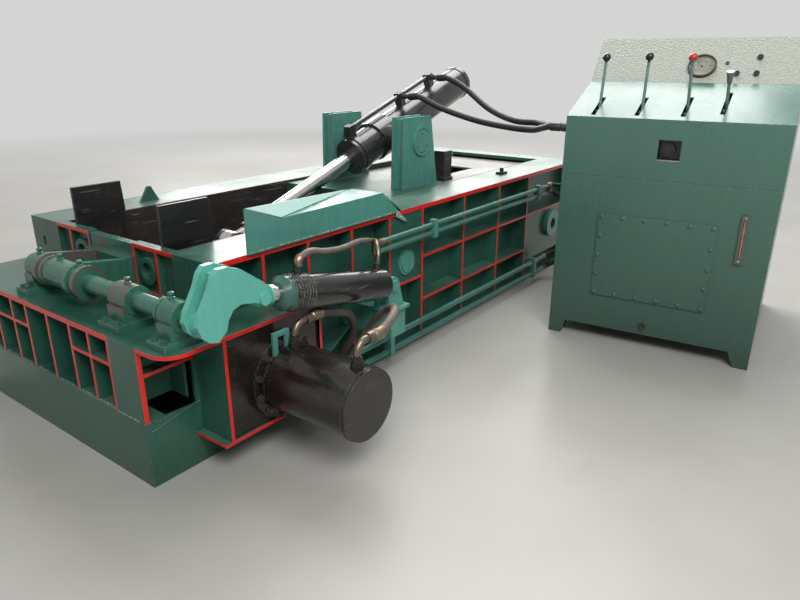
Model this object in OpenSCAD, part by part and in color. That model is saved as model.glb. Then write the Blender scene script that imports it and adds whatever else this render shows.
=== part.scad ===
// Hydraulic turn-out scrap baler with its separate power unit.
// X runs from the discharge end to the rear, Y to the far side, Z up; the floor is Z = 0.

/* [Main frame] */
// Length of the baler, discharge face to rear end
frame_len = 4000; // [3800:50:4200]
// Overall width of the front box
frame_w = 1480; // [1400:20:1600]
// Height of the side frames
frame_h = 806; // [800:2:830]
// Set-back of each side frame from the front box's side
side_set = 15; // [10:1:25]
// Width of each side frame's top flange, outer side_set included
side_w = 300; // [290:5:310]
// Thickness of the top flanges
flange_t = 24; // [16:1:30]
// Thickness of the upright ribs
rib_t = 14; // [10:1:18]
// Depth of the recessed side panels
recess_d = 105; // [80:5:120]
// Thickness of the welded plates
plate_t = 16; // [12:1:20]
// Height of the middle side rail
mid_rail_z = 504; // [480:2:530]
// Height of the lower side rail
low_rail_z = 246; // [230:2:260]

/* [Front box] */
// Depth of the front box
box_len = 375; // [360:5:390]
// Height of the front box
box_h = 590; // [575:5:595]
// Height of the plain lower band
band_h = 277; // [240:1:300]
// Depth of the front cells
cell_d = 80; // [50:5:100]
// Height of the cross rail in the outer cells
cell_rail_z = 470; // [430:5:500]
// Overhang of the side ledge
ledge_out = 180; // [170:1:182]
// Corner radius of the ledge
ledge_r = 95; // [60:5:110]
// Where the ledge starts to taper
ledge_end = 850; // [830:5:855]

/* [Chamber] */
// Height of the chamber floor
floor_z = 175; // [160:1:175]
// Thickness of the wear plates
liner_t = 15; // [10:1:18]
// Width of the front chamber between its guide plates
bay_w = 680; // [660:5:690]
// Top of the guide plates
guide_top = 982; // [940:2:1010]
// Length of the guide plates
guide_len = 253; // [230:1:270]

/* [Turn-out gear] */
// Shaft centre, distance from the discharge face
shaft_x = 135; // [132:1:140]
// Shaft centre, height above the front box
shaft_up = 107; // [104:1:110]
// Shaft radius
shaft_r = 37; // [34:1:42]
// Bearing ring radius
bearing_r = 58; // [54:1:64]
// Hub radius
hub_r = 62; // [58:1:68]
// Width of the turn-out plate
turn_w = 340; // [320:2:344]
// Reach of the turn-out fork under the bale
fork_len = 230; // [200:5:235]
// Thickness of the crank plates
crank_t = 24; // [20:1:26]
// Gap between the crank plates
crank_gap = 50; // [46:1:56]
// Centre plane of the crank and its cylinder, outside the front box
crank_out = 242; // [241:1:250]
// Crank pin, along X from the shaft
crank_dx = 230; // [224:1:236]
// Crank pin, up from the shaft
crank_dz = 41; // [38:1:50]

/* [Turn-out cylinder] */
// Rear pivot, distance from the discharge face
turn_pivot_x = 1150; // [1140:5:1200]
// Rear pivot height
turn_pivot_z = 572; // [571:1:590]
// Barrel radius
turn_bar_r = 72; // [64:1:73]
// Barrel length
turn_bar_len = 610; // [590:5:620]
// Rod radius
turn_rod_r = 34; // [28:1:38]

/* [Side ram] */
// Centre distance from the discharge face
ram_x = 540; // [538:1:544]
// Centre height
ram_z = 332; // [330:1:336]
// Barrel radius
ram_r = 145; // [130:1:150]
// Barrel length from its flange
ram_len = 465; // [455:5:470]
// Flange radius
ram_flange_r = 184; // [176:1:185]
// Number of flange bolts
ram_bolts = 12; // [8:1:16]
// Width of the pressing head
head_w = 220; // [200:2:222]
// Height of the pressing head
head_h = 264; // [240:2:266]

/* [Main ram] */
// Front face of the pressing head at rest
main_face_x = 1500; // [1450:10:1600]
// Height of the pressing head
main_head_h = 262; // [240:2:264]
// Barrel radius
main_r = 122; // [110:1:124]
// Rod radius
main_rod_r = 70; // [60:1:80]

/* [Lid] */
// Front edge of the lid
lid_front = 860; // [855:1:900]
// Rear edge of the lid
lid_rear = 1860; // [1800:5:1880]
// Underside of the lid
lid_z = 452; // [448:1:460]
// Thickness of the lid
lid_t = 84; // [60:1:90]
// Hinge line, distance from the discharge face
lid_hinge_x = 1940; // [1930:5:1950]
// Hinge line height
lid_hinge_z = 620; // [610:1:630]
// Hinge shaft radius
lid_pin_r = 30; // [24:1:34]
// Lug pin, distance from the discharge face
lug_x = 1060; // [1040:5:1080]
// Lug pin height
lug_z = 636; // [634:1:650]

/* [Lid cylinder] */
// Trunnion centre, distance from the discharge face
trun_x = 2340; // [2330:5:2350]
// Trunnion height
trun_z = 1078; // [1065:1:1085]
// Barrel radius
lid_bar_r = 112; // [100:1:116]
// Gland face in front of the trunnion
lid_gland = 310; // [300:5:330]
// Cap end behind the trunnion
lid_tail = 1010; // [960:10:1020]
// Rod radius
lid_rod_r = 46; // [38:1:52]
// Top of the towers
tower_top = 1228; // [1200:2:1250]
// Length of a tower along the machine
tower_len = 380; // [360:5:390]
// Width across a tower
tower_w = 96; // [90:1:100]
// Step from the flanges down to the cross deck
deck_step = 14; // [6:1:26]

/* [Pipes] */
// Pipe radius, upper pair
pipe_r = 13; // [11:1:16]
// Pipe radius, lower pair
low_pipe_r = 17; // [15:1:21]
// Height of the higher upper pipe
pipe_z = 705; // [700:1:715]
// Height of the higher lower pipe
low_pipe_z = 168; // [160:1:175]
// Distance of the pipes from the front box's side
pipe_out = 60; // [50:1:64]

/* [Power unit] */
// Front left foot, distance from the discharge face
unit_x = 2395; // [2350:5:2450]
// Front left foot, distance from the baler's side
unit_gap = 538; // [500:1:600]
// How far the unit is turned from square, degrees
unit_turn = 5.6; // [0:0.1:8]
// Width of the unit
unit_w = 1100; // [1080:10:1150]
// Depth of the unit
unit_d = 1200; // [1100:10:1300]
// Height of the cabinet
unit_h = 1270; // [1250:5:1290]
// Height of the feet
foot_h = 85; // [70:1:95]
// Height of the console above the cabinet
console_h = 411; // [400:1:420]
// Thickness of the sheet steel
sheet_t = 5; // [4:1:8]
// Length of the control levers
lever_len = 272; // [260:2:284]
// Lever radius
lever_r = 8; // [6:1:9]
// Pressure gauge radius
gauge_r = 73; // [60:1:78]

/* [Hidden] */
$fn = 48;

paint = [0.16, 0.42, 0.33];
paint_light = [0.28, 0.60, 0.50];
liner_black = [0.10, 0.10, 0.11];
steel = [0.62, 0.62, 0.64];
oily = [0.16, 0.13, 0.11];
hose_grey = [0.34, 0.31, 0.28];

gap = 0.3;            // seat clearance between pieces of different bodies
run = 0.06;           // radial clearance of a running fit
cy = frame_w / 2;     // centre plane of the baler
shaft_z = box_h + shaft_up;
deck_z = frame_h - deck_step;
near_y = side_set;
inner_y = side_w;     // inner face of the near liner
far_inner = frame_w - side_w;
clear = 10;           // sliding clearance of the rams and the lid to the liners

// Plates across the machine
wall_t = 45;                               // front end wall, along X
wall_back = box_len + wall_t;
cell_back = 27;                            // depth of the cells in the front end wall
slot_w = turn_w + 10;                      // slot for the turn-out plate
rib_ys = [188, 325, 465, 643, 827, 961, 1125, 1292];
rib_xs = [638, 907, 1211, 1514, 1817, 2265, 2709, 3136];
boss_x = [1664, 3563];
boss_z = [507, 372];

crank_y = -crank_out;
pin_x = shaft_x + crank_dx;
pin_z = shaft_z + crank_dz;
turn_ang = atan2(pin_z - turn_pivot_z, turn_pivot_x - pin_x);
turn_dist = norm([turn_pivot_x - pin_x, pin_z - turn_pivot_z]);
lid_ang = atan2(trun_z - lug_z, trun_x - lug_x);
lid_dist = norm([trun_x - lug_x, trun_z - lug_z]);
mount_y = -ledge_out + 12;                 // face of the ram's mounting plate
tower_x = trun_x - tower_len / 2;
tower_y = [400, frame_w - 400 - tower_w];
trun_half = tower_y[1] - cy;               // from the centre plane to a tower's inner face
deck_front = 1900;
deck_rear = tower_x + tower_len + 30;
bulk_x = 2300;
panel_foot = [415, 173];                   // crease under the instrument panel: depth, height
panel_top = 612;
lever_us = [136, 362, 589, 767];           // places of the levers, and the ends of their slots
lever_ds = [141, 152, 163, 213];
slots = [[20, 222], [30, 232], [38, 250], [76, 312]];

// The unit's own frame: x to its right, y into it
module at_unit() translate([unit_x, -unit_gap, 0]) rotate([0, 0, unit_turn - 90]) children();
// A cylinder along Y from y0 to y1
module bar_y(r, x, z, y0, y1) translate([x, y0, z]) rotate([-90, 0, 0]) cylinder(r = r, h = y1 - y0);
// A cylinder along X from x0 to x1
module bar_x(r, x0, x1, y, z) translate([x0, y, z]) rotate([0, 90, 0]) cylinder(r = r, h = x1 - x0);
// A profile given in X and Z, drawn out along Y from y0 to y1
module slab_y(y0, y1) translate([0, y1, 0]) rotate([90, 0, 0]) linear_extrude(y1 - y0) children();
// A profile given in Y and Z, drawn out along X from x0 to x1
module slab_x(x0, x1) translate([x0, 0, 0]) rotate([90, 0, 90]) linear_extrude(x1 - x0) children();
module box(lo, hi) translate(lo) cube(hi - lo);
module mirror_far() translate([0, frame_w, 0]) mirror([0, 1, 0]) children();
module both_sides() { children(); mirror_far() children(); }
// A hexagon bolt head with its washer, standing on z = 0
module bolt_head(r) {
    cylinder(r = r * 1.25, h = r * 0.25);
    cylinder(r = r, h = r * 1.1, $fn = 6);
}

// Tubes swept along a smooth route
function spline(a, b, c, d, t) =
    0.5 * (2 * b + (c - a) * t + (2 * a - 5 * b + 4 * c - d) * t * t + (3 * b - a - 3 * c + d) * t * t * t);
function smooth(p, n) = concat(
    [for (i = [0 : len(p) - 2], k = [0 : n - 1])
        spline(p[max(i - 1, 0)], p[i], p[i + 1], p[min(i + 2, len(p) - 1)], k / n)],
    [p[len(p) - 1]]);
// The same with a short straight end at each fitting
function hose_line(p, n) = let (s = smooth(p, n), last = len(s) - 1)
    concat([s[0], s[0] + 4 * unit_v(p[1] - p[0])], [for (i = [1 : last - 1]) s[i]],
        [s[last] - 4 * unit_v(p[len(p) - 1] - p[len(p) - 2]), s[last]]);
function unit_v(v) = v / norm(v);
function along(p, i) = unit_v(p[min(i + 1, len(p) - 1)] - p[max(i - 1, 0)]);
module tube(p, r, across = [0, 1, 0], sides = 8) {
    rings = [for (i = [0 : len(p) - 1]) let (t = along(p, i), s = unit_v(cross(t, across)), u = cross(s, t))
        for (j = [0 : sides - 1]) p[i] + r * (cos(360 * j / sides) * s + sin(360 * j / sides) * u)];
    walls = [for (i = [0 : len(p) - 2], j = [0 : sides - 1]) let (k = (j + 1) % sides)
        [i * sides + j, i * sides + k, (i + 1) * sides + k, (i + 1) * sides + j]];
    ends = [[for (j = [sides - 1 : -1 : 0]) j], [for (j = [0 : sides - 1]) (len(p) - 1) * sides + j]];
    polyhedron(rings, concat(walls, ends));
}

module front_box() color(paint) {
    inset = 22;
    difference() {
        box([0, 0, 0], [box_len, frame_w, box_h]);
        box([cell_d + plate_t, plate_t, plate_t],
            [box_len - plate_t, frame_w - plate_t, box_h - plate_t]);
        for (i = [0 : len(rib_ys) - 2]) {
            lo = rib_ys[i] + rib_t / 2;
            hi = rib_ys[i + 1] - rib_t / 2;
            outer = i < 2 || i > 3;
            split = i < 2 || i > 3;
            if (split) {
                box([-1, lo, band_h], [cell_d, hi, cell_rail_z - rib_t / 2]);
                box([-1, lo, cell_rail_z + rib_t / 2], [cell_d, hi, box_h - inset]);
            } else
                box([-1, lo, band_h], [cell_d, hi, box_h - inset]);
        }
        side_recess();
        mirror_far() side_recess();
    }
    // Rail across the end openings and the walls of the pockets behind it
    both_sides() {
        box([15, 0, cell_rail_z - rib_t / 2], [box_len - 140, 60, cell_rail_z + rib_t / 2]);
        box([15, 112, band_h + 30], [box_len - 140, 122, box_h - plate_t + 1]);
        box([196, plate_t - 1, band_h + 30], [206, 113, box_h - plate_t + 1]);
    }
}
module side_recess() {
    slab_y(-1, side_w / 2) polygon([[20, band_h], [box_len - 147, band_h - 8],
    [box_len - 147, box_h - 40], [20, box_h - 40]]);
}

module front_end_wall() color(paint) {
    slot_lo = cy - slot_w / 2;
    cells = [[near_y + 255, near_y + 370], [near_y + 370 + rib_t, slot_lo - rib_t]];
    difference() {
        box([box_len, near_y, box_h], [wall_back, frame_w - near_y, frame_h]);
        box([box_len - 1, slot_lo, box_h - 1], [wall_back + 1, slot_lo + slot_w, frame_h + 1]);
        both_sides() for (c = cells)
            box([box_len - 1, c[0], box_h + 10], [box_len + cell_back, c[1], frame_h - 18]);
        // Oblong hole in the far plain strip
        hull() for (z = [box_h + 82, box_h + 112])
            translate([box_len - 1, frame_w - 118, z]) rotate([0, 90, 0]) cylinder(r = 12, h = wall_t + 2);
    }
    // Lifting rings in the cells beside the slot
    both_sides() translate([box_len + cell_back + 1, (cells[1][0] + cells[1][1]) / 2, box_h + 100])
        rotate([0, -90, 0]) difference() {
            cylinder(r = 62, h = cell_back - 2);
            translate([0, 0, -1]) cylinder(r = 38, h = cell_back);
        }
}

module side_frame(window) {
    web = near_y + recess_d;
    difference() {
        union() {
            box([wall_back, near_y, frame_h - flange_t], [frame_len - plate_t, side_w - liner_t, frame_h]);
            box([wall_back, web, 25], [frame_len - plate_t, web + plate_t, frame_h - flange_t]);
            box([wall_back, near_y, 25], [frame_len - plate_t, web, 25 + plate_t]);
            for (x = rib_xs)
                box([x - rib_t / 2, near_y, 25 + plate_t], [x + rib_t / 2, web, frame_h - flange_t]);
            box([rib_xs[4], near_y, mid_rail_z - rib_t / 2], [frame_len - 100, web, mid_rail_z + rib_t / 2]);
            box([rib_xs[4], near_y, low_rail_z - rib_t / 2], [rib_xs[7], web, low_rail_z + rib_t / 2]);
            box([rib_xs[3], near_y, 384], [rib_xs[4], web, 384 + rib_t]);
            // Boss plates
            box([rib_xs[3], near_y + 10, 384 + rib_t], [rib_xs[4], near_y + 26, frame_h - flange_t]);
            box([rib_xs[7], near_y + 10, low_rail_z - 90], [frame_len - 100, near_y + 26, mid_rail_z - rib_t / 2]);
        }
        if (window)
            box([ram_x - head_w / 2 - 20, near_y - 1, ram_z - head_h / 2 - 20],
                [ram_x + head_w / 2 + 20, side_w, ram_z + head_h / 2 + 20]);
    }
}
module near_side_frame() color(paint) side_frame(true);
module far_side_frame() color(paint) {
    mirror_far() side_frame(false);
    // Upright gusset on the flange
    slab_y(frame_w - 190, frame_w - 176)
        polygon([[890, frame_h - 1], [1010, frame_h - 1], [965, frame_h + 84], [945, frame_h + 84]]);
}

module rear_end_plate() color(paint) {
    box([frame_len - plate_t, near_y, 0], [frame_len, frame_w - near_y, frame_h]);
    box([frame_len - 150, side_w - liner_t, frame_h - flange_t], [frame_len - plate_t, frame_w - side_w + liner_t, frame_h]);
}

module base_plate() color(paint) {
    box([box_len, near_y, 0], [frame_len - plate_t, frame_w - near_y, 25]);
    // Chamber bed on its bearers
    box([box_len, side_w - liner_t, floor_z - 25], [bulk_x, frame_w - side_w + liner_t, floor_z]);
    for (y = [side_w, cy - plate_t / 2, far_inner - plate_t])
        box([box_len, y, 25], [bulk_x, y + plate_t, floor_z - 25]);
}

module chamber_liners() color(liner_black) {
    difference() {
        box([wall_back, side_w - liner_t, floor_z], [frame_len - 150, side_w, frame_h]);
        box([ram_x - head_w / 2 - 20, side_w - liner_t - 1, ram_z - head_h / 2 - 20],
            [ram_x + head_w / 2 + 20, side_w + 1, ram_z + head_h / 2 + 20]);
    }
    mirror_far() box([wall_back, side_w - liner_t, floor_z], [frame_len - 150, side_w, frame_h]);
}

module guide_plates() color(liner_black) {
    y = cy - bay_w / 2;
    low = ram_z + head_h / 2 + plate_t + 14;
    both_sides() union() {
        slab_y(y - liner_t, y) polygon([[wall_back, low], [wall_back + guide_len - 20, low],
            [wall_back + guide_len, frame_h + 40], [wall_back + guide_len - 8, guide_top], [wall_back - 7, guide_top],
            [wall_back - 7, frame_h], [wall_back, frame_h]]);
        // Spacer back to the side liner
        box([wall_back, side_w, low], [wall_back + plate_t, y - liner_t, frame_h - 60]);
    }
}

module cross_deck() color(paint) {
    box([deck_front, side_w, deck_z - plate_t], [deck_rear, far_inner, deck_z]);
    // Lower cover sheet over the main ram, open where the lid cylinder dips
    difference() {
        box([deck_rear - 1, side_w, deck_z - 40], [frame_len - 150, far_inner, deck_z - 28]);
        box([trun_x + 460, cy - lid_bar_r - 20, deck_z - 41],
            [trun_x + lid_tail + 10, cy + lid_bar_r + 20, deck_z - 27]);
    }
    for (x = [deck_front, deck_rear - plate_t])
        box([x, side_w, deck_z - (x == deck_front ? 60 : 130)], [x + plate_t, far_inner, deck_z - plate_t]);
}

module cylinder_towers() color(paint_light) {
    for (y = tower_y) {
        for (side = [0, 1])
            difference() {
                slab_y(y + side * (tower_w - plate_t), y + side * (tower_w - plate_t) + plate_t)
                    polygon([[tower_x, deck_z], [tower_x + tower_len, deck_z],
                        [tower_x + tower_len - 80, tower_top], [tower_x + 14, tower_top]]);
                bar_y(60 + run, trun_x, trun_z, y - 1, y + tower_w + 1);
            }
        // Front web between the side plates
        slab_y(y + plate_t, y + tower_w - plate_t)
            polygon([[tower_x + 22, deck_z], [tower_x + 22 + plate_t, deck_z],
                [tower_x + 32 + plate_t, tower_top - 8], [tower_x + 32, tower_top - 8]]);
    }
}

module trunnion_keepers() color(paint_light) {
    for (far = [0, 1]) {
        y = far ? tower_y[1] + tower_w : tower_y[0] - 14;
        translate([trun_x, y, trun_z]) rotate([-90, 0, 0]) {
            // Split ring open towards the rear
            difference() {
                cylinder(r = 94, h = 14);
                translate([0, 0, -1]) cylinder(r = 76, h = 16);
                translate([30, -60, -1]) cube([80, 120, 16]);
            }
            // Trunnion cap with its three bolts
            translate([0, 0, far ? 0 : 2]) cylinder(r = 72, h = 12);
            for (a = [30, 150, 270]) translate([52 * cos(a), 52 * sin(a), far ? 12 : -4])
                cylinder(r = 9, h = 6);
        }
    }
}

// Folded sheet guard on the near flange: top line in X and Z, plan in X and Y
guard_line = [[548, frame_h + 193], [745, frame_h + 120], [1440, frame_h + 122], [1640, frame_h - 16]];
guard_plan = [[548, 9], [1640, 9], [1560, 200], [1405, 200]];
guard_t = 6;
module guard_box() color(paint_light) {
    // Outer face standing on the flange edge, with its sloped rear corner
    slab_y(4, 4 + guard_t) polygon([[548, frame_h], guard_line[0], guard_line[1], guard_line[2],
        [1655, frame_h - 64], [1640, frame_h - 64],
        [1560, frame_h - flange_t - 1], [1560, frame_h]]);
    // Top sheet following the line of the face, cut to its plan
    intersection() {
        slab_y(4 + guard_t / 2, 210) polygon(concat(guard_line,
            [for (i = [3 : -1 : 0]) [guard_line[i][0], guard_line[i][1] - guard_t]]));
        slab_z(frame_h, frame_h + 204) polygon(guard_plan);
    }
    // Inner supports on the flange
    for (w = [[900, 78], [1300, 160]])
        box([w[0], 4 + guard_t / 2, frame_h], [w[0] + 8, w[1], guard_line[1][1] - guard_t / 2]);
}

module side_ledge() color(paint) {
    // Top plate with the rounded front corner and tapered end
    translate([0, 0, box_h - plate_t]) linear_extrude(plate_t) difference() {
        polygon(concat([[0, 0], [0, -ledge_out + ledge_r]],
            [for (a = [180 : 10 : 270]) [ledge_r + ledge_r * cos(a), -ledge_out + ledge_r + ledge_r * sin(a)]],
            [[ledge_end, -ledge_out], [ledge_end + 160, 0], [ledge_end + 160, near_y], [box_len, near_y], [box_len, 0]]));
    }
    under = box_h - plate_t;
    // Ram box: front rib, bottom rail and the slanted rear plate
    front = ram_x - 294;
    low = ram_z - 200;
    box([front, -ledge_out, low + rib_t], [front + rib_t, 0, under]);
    box([front - 30, -ledge_out, low], [ram_x + 230, 0, low + rib_t]);
    box([front + rib_t, -rib_t, low + rib_t], [box_len - 1, 0, under]);
    rear = ram_x + 216;
    slab_z(low + rib_t, under) polygon([[rear, -ledge_out], [rear + rib_t, -ledge_out], [rear + 130, 0], [rear + 130 - rib_t, 0]]);
    // Sloping gusset behind the ram box
    slab_z(291, 291 + rib_t) polygon([[rear + rib_t + 6, -ledge_out + 4], [rear + 440, near_y], [rear + 150, near_y]]);
}
module slab_z(z0, z1) translate([0, 0, z0]) linear_extrude(z1 - z0) children();

module ram_mount_plate() color(liner_black) difference() {
    box([ram_x - 280, mount_y, ram_z - 186], [ram_x + 216, mount_y + 30, box_h - plate_t]);
    bar_y(main_rod_r + 20, ram_x, ram_z, mount_y - 1, mount_y + 31);
}

module ram_tunnel() color(paint) {
    w = head_w / 2 + 2;
    h = head_h / 2 + 2;
    t = 12;
    difference() {
        box([ram_x - w - t, mount_y + 30, ram_z - h - t], [ram_x + w + t, cy - bay_w / 2 - liner_t, ram_z + h + t]);
        box([ram_x - w, mount_y + 29, ram_z - h], [ram_x + w, cy, ram_z + h]);
    }
}

module side_ram_barrel() color(oily) translate([ram_x, mount_y, ram_z]) rotate([90, 0, 0]) difference() {
    union() {
        cylinder(r = ram_flange_r, h = 34);
        // Raised ring, neck and the shoulder of the barrel
        translate([0, 0, 33]) cylinder(r = ram_r - 8, h = 9);
        translate([0, 0, 40]) cylinder(r = ram_r - 22, h = 12);
        translate([0, 0, 50]) cylinder(r1 = ram_r - 7, r2 = ram_r, h = 7);
        translate([0, 0, 57]) cylinder(r = ram_r, h = ram_len - 57);
        // Weld bead at the end cap
        translate([0, 0, ram_len - 24]) cylinder(r = ram_r + 3, h = 8);
    }
    translate([0, 0, -1]) cylinder(r = 60 + run, h = 75);
    translate([0, 0, 72]) cylinder(r = ram_r - 22, h = ram_len - 102);
}

module bolts() color(steel) {
    pcd = ram_flange_r - 21;
    for (i = [0 : ram_bolts - 1]) let (a = 360 * (i + 0.5) / ram_bolts)
        translate([ram_x + pcd * cos(a), mount_y - 34, ram_z + pcd * sin(a)]) rotate([90, 0, 0]) bolt_head(13);
    for (b = bearing_spans, x = [-86, 86], y = [b[0] + 28, b[1] - 28])
        translate([shaft_x + x, y, box_h + 30]) bolt_head(12);
}
bearing_spans = [[-140, -30], [150, 285], [845, 945]];

module shaft_bearings() color(paint) for (b = bearing_spans) difference() {
    union() {
        box([shaft_x - 105, b[0], box_h], [shaft_x + 105, b[1], box_h + 30]);
        bar_y(bearing_r, shaft_x, shaft_z, b[0] + 10, b[1] - 10);
        box([shaft_x - 66, b[0] + 14, box_h + 30], [shaft_x + 66, b[1] - 14, shaft_z - 20]);
    }
    bar_y(shaft_r + run, shaft_x, shaft_z, b[0] - 1, b[1] + 1);
}

module lid_hinge_shaft() color(steel) bar_y(lid_pin_r, lid_hinge_x, lid_hinge_z, side_w, far_inner);

module hinge_blocks() color(paint) both_sides() difference() {
    box([lid_hinge_x - 40, side_w, lid_hinge_z - 60], [lid_hinge_x + 80, side_w + 30, deck_z - plate_t]);
    bar_y(lid_pin_r + run, lid_hinge_x, lid_hinge_z, side_w - 1, side_w + 31);
    // Clear of the deck's front stiffener
    box([lid_hinge_x - 60, side_w - 1, deck_z - 61], [deck_front + plate_t, side_w + 31, deck_z]);
}

module cylinder_stool() color(paint_light) {
    top = turn_pivot_z - 112;
    x0 = turn_pivot_x - 40;
    box([x0, crank_y - 64, top - 15], [x0 + 140, crank_y + 64, top]);
    box([x0 + 20, crank_y - 44, top - 150], [x0 + 130, near_y, top - 15]);
    for (y = [crank_y - 26 - 20, crank_y + 26]) difference() {
        slab_y(y, y + 20) polygon(concat([[x0 + 5, top], [x0 + 115, top]],
            [for (a = [0 : 15 : 180]) [turn_pivot_x + 42 * cos(a), turn_pivot_z + 42 * sin(a)]]));
        bar_y(22, turn_pivot_x, turn_pivot_z, y - 1, y + 21);
    }
    bar_y(21.7, turn_pivot_x, turn_pivot_z, crank_y - 52, crank_y + 52);
    bar_y(28, turn_pivot_x, turn_pivot_z, crank_y - 58, crank_y - 46.3);
}

module hydraulic_pipes() color(paint_light) {
    for (k = [0, 1]) {
        bar_x(pipe_r, 1365 - 40 * k, 3300, -pipe_out, pipe_z - 46 * k);
        bar_x(low_pipe_r, 1040, 3300, -pipe_out, low_pipe_z - 82 * k);
    }
}

module pipe_clamps() color(steel) {
    for (x = [rib_xs[4], rib_xs[7]]) clamp(x, pipe_z, 46, pipe_r, near_y);
    clamp(1410, low_pipe_z, 82, low_pipe_r, near_y + recess_d);
    clamp(rib_xs[7], low_pipe_z, 82, low_pipe_r, near_y);
}
// A strap plate behind a pair of pipes with a saddle over each pipe
module clamp(x, z, pitch, r, back) {
    difference() {
        box([x - 16, -pipe_out - r - 6, z - pitch - r - 14], [x + 16, -pipe_out + r + 6, z + r + 14]);
        for (k = [0, 1]) bar_x(r + gap, x - 17, x + 17, -pipe_out, z - pitch * k);
    }
    box([x - 12, -pipe_out + r + 6, z - pitch / 2 - 11], [x + 12, back, z - pitch / 2 + 11]);
}

module side_bosses() color(paint_light) {
    both_sides() {
        bar_y(70, boss_x[0], boss_z[0], near_y - 4, near_y + 10);
        bar_y(56, boss_x[0], boss_z[0], near_y - 14, near_y - 4);
        difference() {
            bar_y(104, boss_x[1], boss_z[1], near_y - 24, near_y + 10);
            bar_y(42, boss_x[1], boss_z[1], near_y - 25, near_y + 11);
        }
    }
}

module rear_block() color(liner_black) {
    z = deck_z - 28;
    // Valve block on the cover sheet, with its handle
    box([2700, 450, z], [2810, 550, z + 24]);
    box([2708, 458, z + 24], [2802, 542, z + 205]);
    bar_x(8, 2800, 2880, 500, z + 165);
    // Small fitting on the near flange
    box([2980, 150, frame_h], [3060, 200, frame_h + 16]);
    translate([3020, 175, frame_h + 16]) cylinder(r = 14, h = 26);
}

module main_ram_barrel() color(oily) {
    z = floor_z + 2 + main_head_h / 2;
    difference() {
        union() {
            bar_x(main_r, bulk_x + 40, frame_len - 60, cy, z);
            bar_x(main_r + 28, bulk_x + plate_t * 2, bulk_x + plate_t * 2 + 34, cy, z);
        }
        bar_x(main_r - 20, bulk_x + 80, frame_len - 100, cy, z);
        bar_x(main_rod_r + run, bulk_x, bulk_x + 90, cy, z);
    }
    box([frame_len - 60, cy - 70, z - 70], [frame_len - plate_t, cy + 70, z + 70]);
}

module ram_bulkhead() color(paint) {
    z = floor_z + 2 + main_head_h / 2;
    difference() {
        box([bulk_x, side_w, 25], [bulk_x + plate_t * 2, far_inner, deck_z - 130]);
        bar_x(main_rod_r + 4, bulk_x - 1, bulk_x + plate_t * 2 + 1, cy, z);
    }
}

// Ports of the side ram: hex adaptor and bent metal elbow, at a distance along the barrel
side_ports = [84, 408];
elbow_r = 50;
module side_ram_fittings() color(steel) difference() {
    for (p = side_ports) translate([ram_x, mount_y - p, ram_z + ram_r - 6]) {
        cylinder(r = 27, h = 18);
        translate([0, 0, 18]) cylinder(r = 24, h = 12, $fn = 6);
        translate([0, 0, 30]) cylinder(r = 20, h = 8);
        translate([0, 0, 38]) cylinder(r = 22, h = 10, $fn = 6);
        translate([0, 0, 47]) cylinder(r = 15, h = 5.1);
        // Elbow bending to the rear and its ferrule
        translate([elbow_r, 0, 52]) rotate([90, 0, 0]) rotate([0, 0, 90]) rotate_extrude(angle = 90)
            translate([elbow_r, 0]) circle(r = 15);
        translate([elbow_r - 0.1, 0, 52 + elbow_r]) rotate([0, 90, 0]) cylinder(r = 15, h = 16);
        translate([elbow_r + 14, 0, 52 + elbow_r]) rotate([0, 90, 0]) cylinder(r = 21, h = 26);
    }
    bar_y(ram_r + gap, ram_x, ram_z, mount_y - ram_len, mount_y);
}

// Hose routes, points chosen by hand
side_hose_a = [[630.4, -252, 573], [675, -252, 573], [765, -258, 553], [870, -250, 510], [935, -220, 405],
    [940, -160, 290], [940, -95, 205], [975, -60, 168], [1039.7, -60, 168]];
side_hose_b = [[630.4, -576, 573], [690, -576, 573], [810, -545, 600], [905, -455, 572], [962, -310, 450],
    [950, -195, 260], [935, -115, 140], [972, -60, 86], [1039.7, -60, 86]];
module side_ram_hoses() color(hose_grey) {
    tube(hose_line(side_hose_a, 3), 19);
    tube(hose_line(side_hose_b, 3), 19);
}

turn_hose_a = [[590.1, -242, 795.3], [596.4, -242, 824.9], [660, -240, 840], [760, -225, 815], [900, -190, 790], [1080, -140, 775],
    [1240, -85, 735], [1320, -60, 705], [1364.7, -60, 705]];
turn_hose_b = [[1083.2, -242, 691], [1092, -242, 732.6], [1122, -208, 768], [1190, -140, 757], [1250, -85, 700],
    [1288, -60, 659], [1324.7, -60, 659]];
module turnout_hoses() color(hose_grey) {
    tube(hose_line(turn_hose_a, 3), 14);
    tube(hose_line(turn_hose_b, 3), 14);
}

// From the ends of the pipes to the unit's side
supply_a = [[3300.3, -60, 705], [3360, -60, 705], [3430, -140, 690], [3450, -270, 655], [3443.8, -369.6, 640],
    [3447.2, -404.4, 640]];
supply_b = [[3300.3, -60, 659], [3345, -60, 659], [3392, -135, 625], [3385, -270, 575], [3364.3, -378, 560],
    [3367.6, -412.2, 560]];
supply_c = [[3300.3, -60, 168], [3360, -60, 168], [3430, -140, 220], [3450, -270, 285], [3443.8, -369.6, 300],
    [3447.2, -404.4, 300]];
supply_d = [[3300.3, -60, 86], [3345, -60, 86], [3392, -135, 125], [3385, -270, 200], [3364.3, -378, 220],
    [3367.6, -412.2, 220]];
module supply_hoses() color(hose_grey) {
    tube(hose_line(supply_a, 3), 16);
    tube(hose_line(supply_b, 3), 16);
    tube(hose_line(supply_c, 3), 16);
    tube(hose_line(supply_d, 3), 16);
}

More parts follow.
